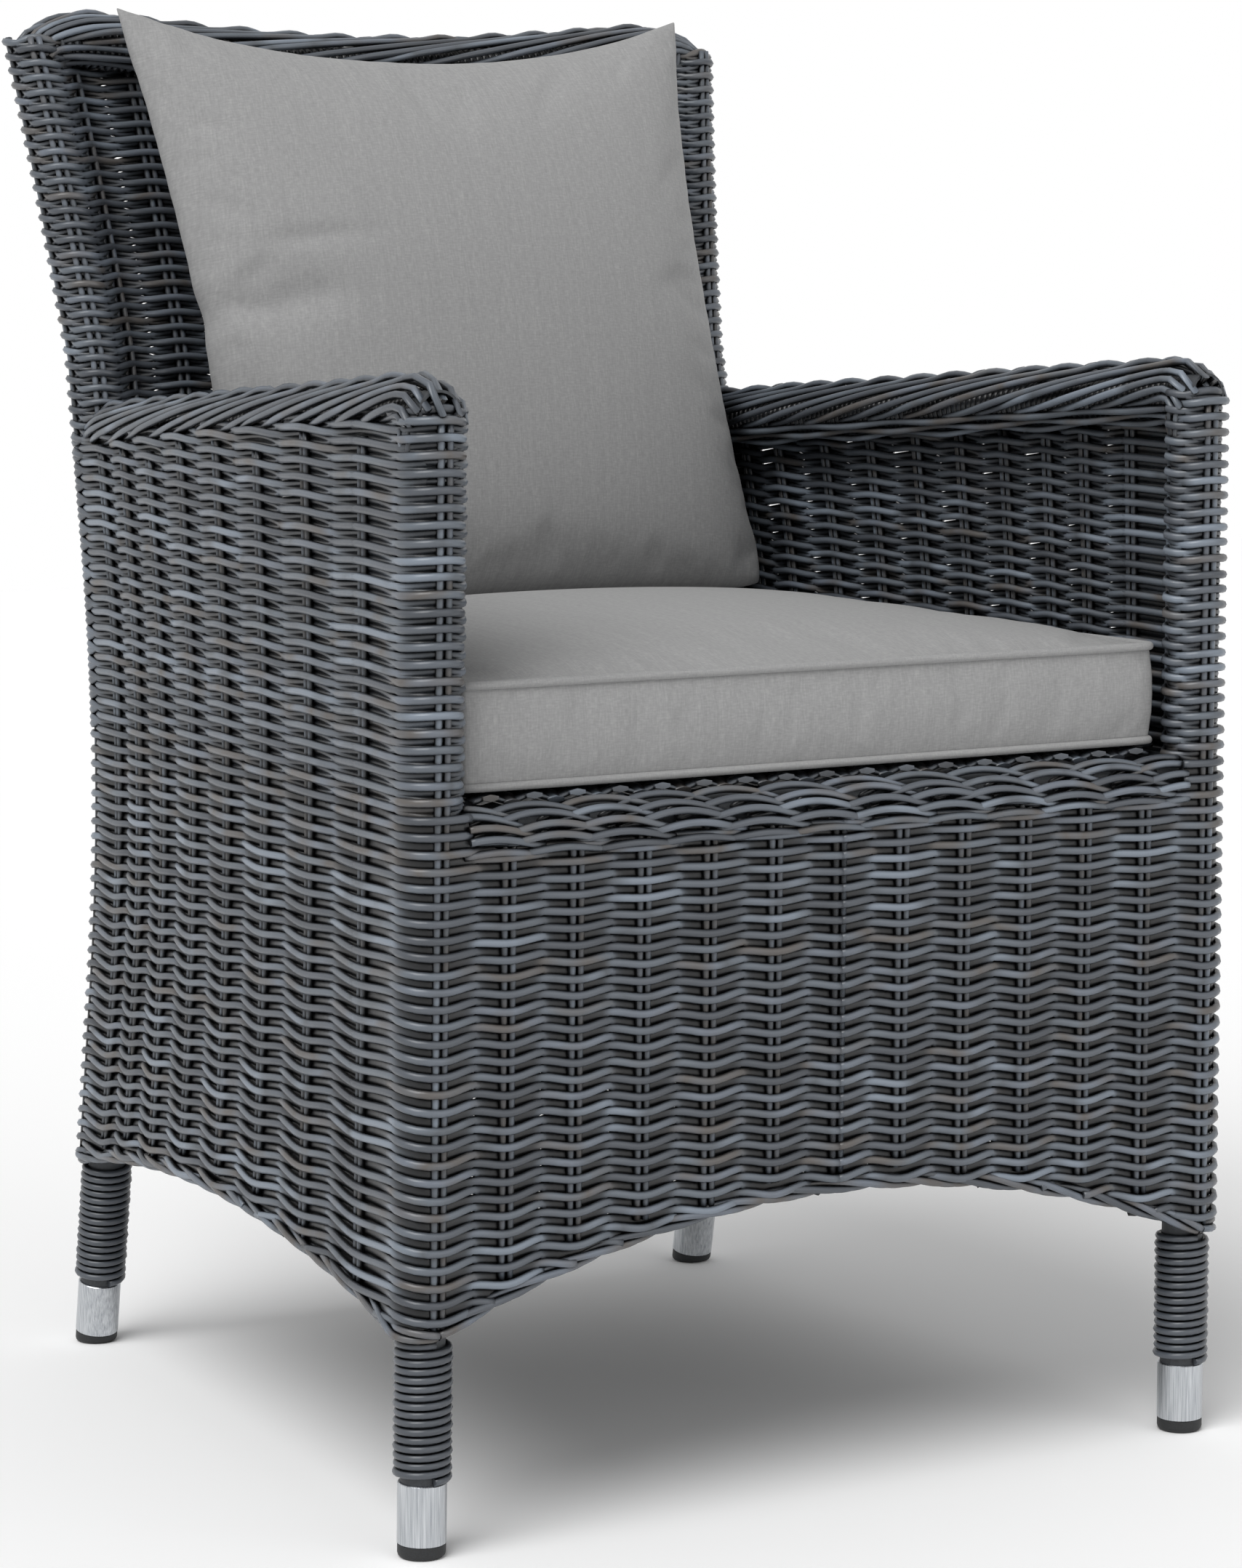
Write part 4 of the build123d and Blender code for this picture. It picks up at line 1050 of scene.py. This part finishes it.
def seat_cushion():
    """A boxed cushion: crowned top, flat underside, a band between them and a corded welt on each seam.

    The plan is a trapezium with small blunt corners. The crown is a power of (1-u^2)(1-v^2), pressed down
    at the rear where the back cushion stands; the band swells by half a sine; a welt is a ring of points
    carried round the seam.
    """
    u, v, quads, edge = panel_grid(96, 92)
    blunt = 1 - SEAT_BLUNT * (np.abs(u) * np.abs(v)) ** 24
    middle, half_depth = (SEAT_FRONT + SEAT_REAR) / 2, (SEAT_REAR - SEAT_FRONT) / 2
    x = u * (SEAT_FRONT_HALF + (SEAT_REAR_HALF - SEAT_FRONT_HALF) * (v + 1) / 2) * blunt
    y = middle + half_depth * v * blunt
    swell = ((1 - u**2) * (1 - v**2)) ** 0.58
    pressed = 1 - SEAT_PRESSED * np.exp(-(((v - 0.85) / 0.22) ** 2))
    top = np.stack([x, y, TOP_WELT_Z + SEAT_CROWN * swell * pressed], -1).reshape(-1, 3)
    low = np.stack([x, y, LOW_WELT_Z - (LOW_WELT_Z - UNDER_Z) * np.minimum(1, 4 * swell)], -1).reshape(-1, 3)
    rim_low, rim_top = low[edge], top[edge]
    way_on = unit(np.roll(rim_top, -1, axis=0) - np.roll(rim_top, 1, axis=0))
    out = np.stack([way_on[:, 1], -way_on[:, 0], 0 * way_on[:, 0]], -1)
    share = np.arange(1, 12) / 12
    band = rim_low + (rim_top - rim_low) * share[:, None, None]
    band = band + BOXING_SWELL * np.sin(math.pi * share)[:, None, None] * out
    count, around = len(top), len(edge)
    rings = 2 * count + np.arange(len(share) * around).reshape(-1, around)
    rings = np.concatenate([[edge + count], rings, [edge]])
    verts = [top, low, band.reshape(-1, 3)]
    faces = [quads, quads[:, ::-1] + count, rings_grid(rings, False)]
    run = run_along(np.concatenate([rim_top, rim_top[:1]]))
    flat = np.stack([x, y], -1).reshape(-1, 2)
    cloth_places = [flat[quads].reshape(-1, 2), flat[quads[:, ::-1]].reshape(-1, 2)]
    cloth_places.append(rings_cloth(run, np.concatenate([[0], share, [1]]) * (TOP_WELT_Z - LOW_WELT_Z)))
    turn = 2 * math.pi * np.arange(8) / 8
    round_seam = np.cos(turn)[:, None, None] * out - np.sin(turn)[:, None, None] * UP
    for rim in (rim_low, rim_top):
        ring = rim + WELT_PROUD * out + WELT_R * round_seam
        start = sum(len(part) for part in verts)
        verts.append(ring.reshape(-1, 3))
        faces.append(rings_grid(start + np.arange(8 * around).reshape(8, around), True)[:, ::-1])
        cloth_places.append(rings_cloth(run, WELT_R * np.append(turn, 2 * math.pi))[:, ::-1])
    parts = [np.concatenate(part) for part in (verts, faces, cloth_places)]
    piece = cushion_piece("seat_cushion_cover", *parts)
    welts = np.arange(2 * count + len(share) * around, len(piece.data.vertices))
    flat_under = count + np.arange(count)
    inflate(piece, np.concatenate([edge, flat_under, welts]), SEAT_CAP)
    finer(piece)
    return piece


def back_cushion():
    """A knife-edge cushion: two panels crowned by powers of 1-|u|^2.2 and 1-|v|^2.2 and sewn along their edges.

    The sides and the top are drawn in by (1-v^2) and (1-u^2), the left one most below its middle, with a
    notch at it; the foot stands a little to the right, and the top corners peak by u^4 v^4. Grooves are
    narrow two-way bell curves on the front.
    """
    u, v, quads, edge = panel_grid(88, 86)
    low = (1 - v) / 2
    left = PILLOW_LEFT_DRAW * (1 - v**2) * (1 - 0.45 * v)
    left = left + PILLOW_NOTCH * np.exp(-(((v + 0.01) / 0.07) ** 2))
    draw = np.where(u < 0, left, PILLOW_RIGHT_DRAW * (1 - v**2))
    blunt = 1 - PILLOW_BLUNT * (np.abs(u) * np.maximum(-v, 0)) ** 10
    half = PILLOW_W / 2 - draw + PILLOW_SPLAY * np.sign(u) * low**2
    x = (u * half + PILLOW_SKEW * low) * blunt
    rise = (v - 1) * PILLOW_H / 2 - v * np.where(v > 0, PILLOW_TOP_DRAW, PILLOW_FOOT_DRAW) * (1 - u**2)
    peak = np.abs(u) ** 4 * np.maximum(v, 0) ** 4
    x = x + PILLOW_PEAK_OUT * np.sign(u) * peak
    rise = rise + (1 - blunt) * PILLOW_H / 2 + PILLOW_PEAK_UP * peak
    crown = PILLOW_T / 2 * (1 - np.abs(u) ** 2.2) ** 0.5
    crown = crown * (1 - np.abs(v) ** 2.2) ** np.where(v < 0, 0.42, 0.5)
    up = np.array((0.0, math.sin(PILLOW_LEAN), math.cos(PILLOW_LEAN)))
    out = np.array((0.0, -math.cos(PILLOW_LEAN), math.sin(PILLOW_LEAN)))
    sheet = PILLOW_TOP + x[..., None] * np.array((1.0, 0, 0)) + rise[..., None] * up
    face = (sheet + crown[..., None] * out).reshape(-1, 3)
    rear = (sheet - np.minimum(crown, PILLOW_REAR)[..., None] * out).reshape(-1, 3)
    count = len(face)
    inner = np.setdiff1d(np.arange(count), edge)
    rear_index = np.arange(count)
    rear_index[inner] = count + np.arange(len(inner))
    flat = np.stack([x, rise], -1).reshape(-1, 2)
    cloth_places = np.concatenate([flat[quads].reshape(-1, 2), flat[quads[:, ::-1]].reshape(-1, 2)])
    verts = np.concatenate([face, rear[inner]])
    faces = np.concatenate([quads, rear_index[quads[:, ::-1]]])
    piece = cushion_piece("back_cushion_cover", verts, faces, cloth_places)
    inflate(piece, edge, PILLOW_CAP)
    grooves = 0 * u
    for place_u, place_v, turn, long, wide, deep in PILLOW_GROOVES:
        along = (u - place_u) * math.cos(turn) + (v - place_v) * math.sin(turn)
        aside = (v - place_v) * math.cos(turn) - (u - place_u) * math.sin(turn)
        grooves = grooves - deep * np.exp(-((along / long) ** 2) - (aside / wide) ** 2)
    moved = np.empty(3 * len(verts), np.float32)
    piece.data.vertices.foreach_get("co", moved)
    moved = moved.reshape(-1, 3)
    moved[:count] += (grooves * (1 - u**8))[..., None].reshape(-1, 1) * out
    piece.data.vertices.foreach_set("co", moved.ravel())
    piece.data.update()
    finer(piece)
    return piece


seat = seat_cushion()
finish_piece(seat, cloth, "seat_cushion", "cushion_cloth", "seat_cushion")
pillow = back_cushion()
finish_piece(pillow, cloth, "back_cushion", "cushion_cloth", "back_cushion")

# Camera at the photograph's viewing angle
camera_data = bpy.data.cameras.new("camera")
camera_data.sensor_fit = "VERTICAL"
camera_data.sensor_height = 36.0
camera_data.lens = LENS
camera = bpy.data.objects.new("camera", camera_data)
camera.location = CAMERA_PLACE
camera.rotation_euler = (math.radians(90 - CAMERA_TILT), 0, math.radians(CAMERA_TURN))
scene.collection.objects.link(camera)
scene.camera = camera

# Pale floor and soft light
corners = FLOOR_HALF * np.array([(-1, -1, 0), (1, -1, 0), (1, 1, 0), (-1, 1, 0)])
floor = put_mesh("floor", corners, np.array([(0, 1, 2, 3)]), np.zeros((0, 3), int))
floor_finish, _, floor_shader = new_material("pale_floor")
floor_shader.inputs["Base Color"].default_value = linear("#ffffff")
floor_shader.inputs["Roughness"].default_value = 0.9
floor.data.materials.append(floor_finish)
world = bpy.data.worlds.new("studio")
world.use_nodes = True
sky = world.node_tree
paths = add_node(sky, "ShaderNodeLightPath").outputs
shine_inputs = {0: paths["Is Glossy Ray"], 1: MIRRORED - AMBIENT, 2: AMBIENT}
shine = add_node(sky, "ShaderNodeMath", shine_inputs, operation="MULTIPLY_ADD").outputs[0]
bright_inputs = {0: paths["Is Camera Ray"], 1: shine}
bright = add_node(sky, "ShaderNodeMath", bright_inputs, operation="MAXIMUM").outputs[0]
backdrop = sky.nodes["Background"]
backdrop.inputs["Color"].default_value = linear("#ffffff")
sky.links.new(bright, backdrop.inputs["Strength"])
scene.world = world
scene.view_settings.view_transform = "Standard"


def soft_light(name, way, strength, spread):
    """A distant soft light that shines along a direction, as wide in the sky as its spread in degrees."""
    data = bpy.data.lights.new(name, "SUN")
    data.energy, data.angle = strength, math.radians(spread)
    lamp = bpy.data.objects.new(name, data)
    x, y, z = way
    lamp.rotation_euler = (math.atan2(math.hypot(x, y), -z), 0, math.atan2(y, x) - math.pi / 2)
    scene.collection.objects.link(lamp)


soft_light("key", (0.55, 0.31, -0.775), 2.1, 42)
soft_light("fill", (-0.30, 0.90, -0.32), 0.4, 50)
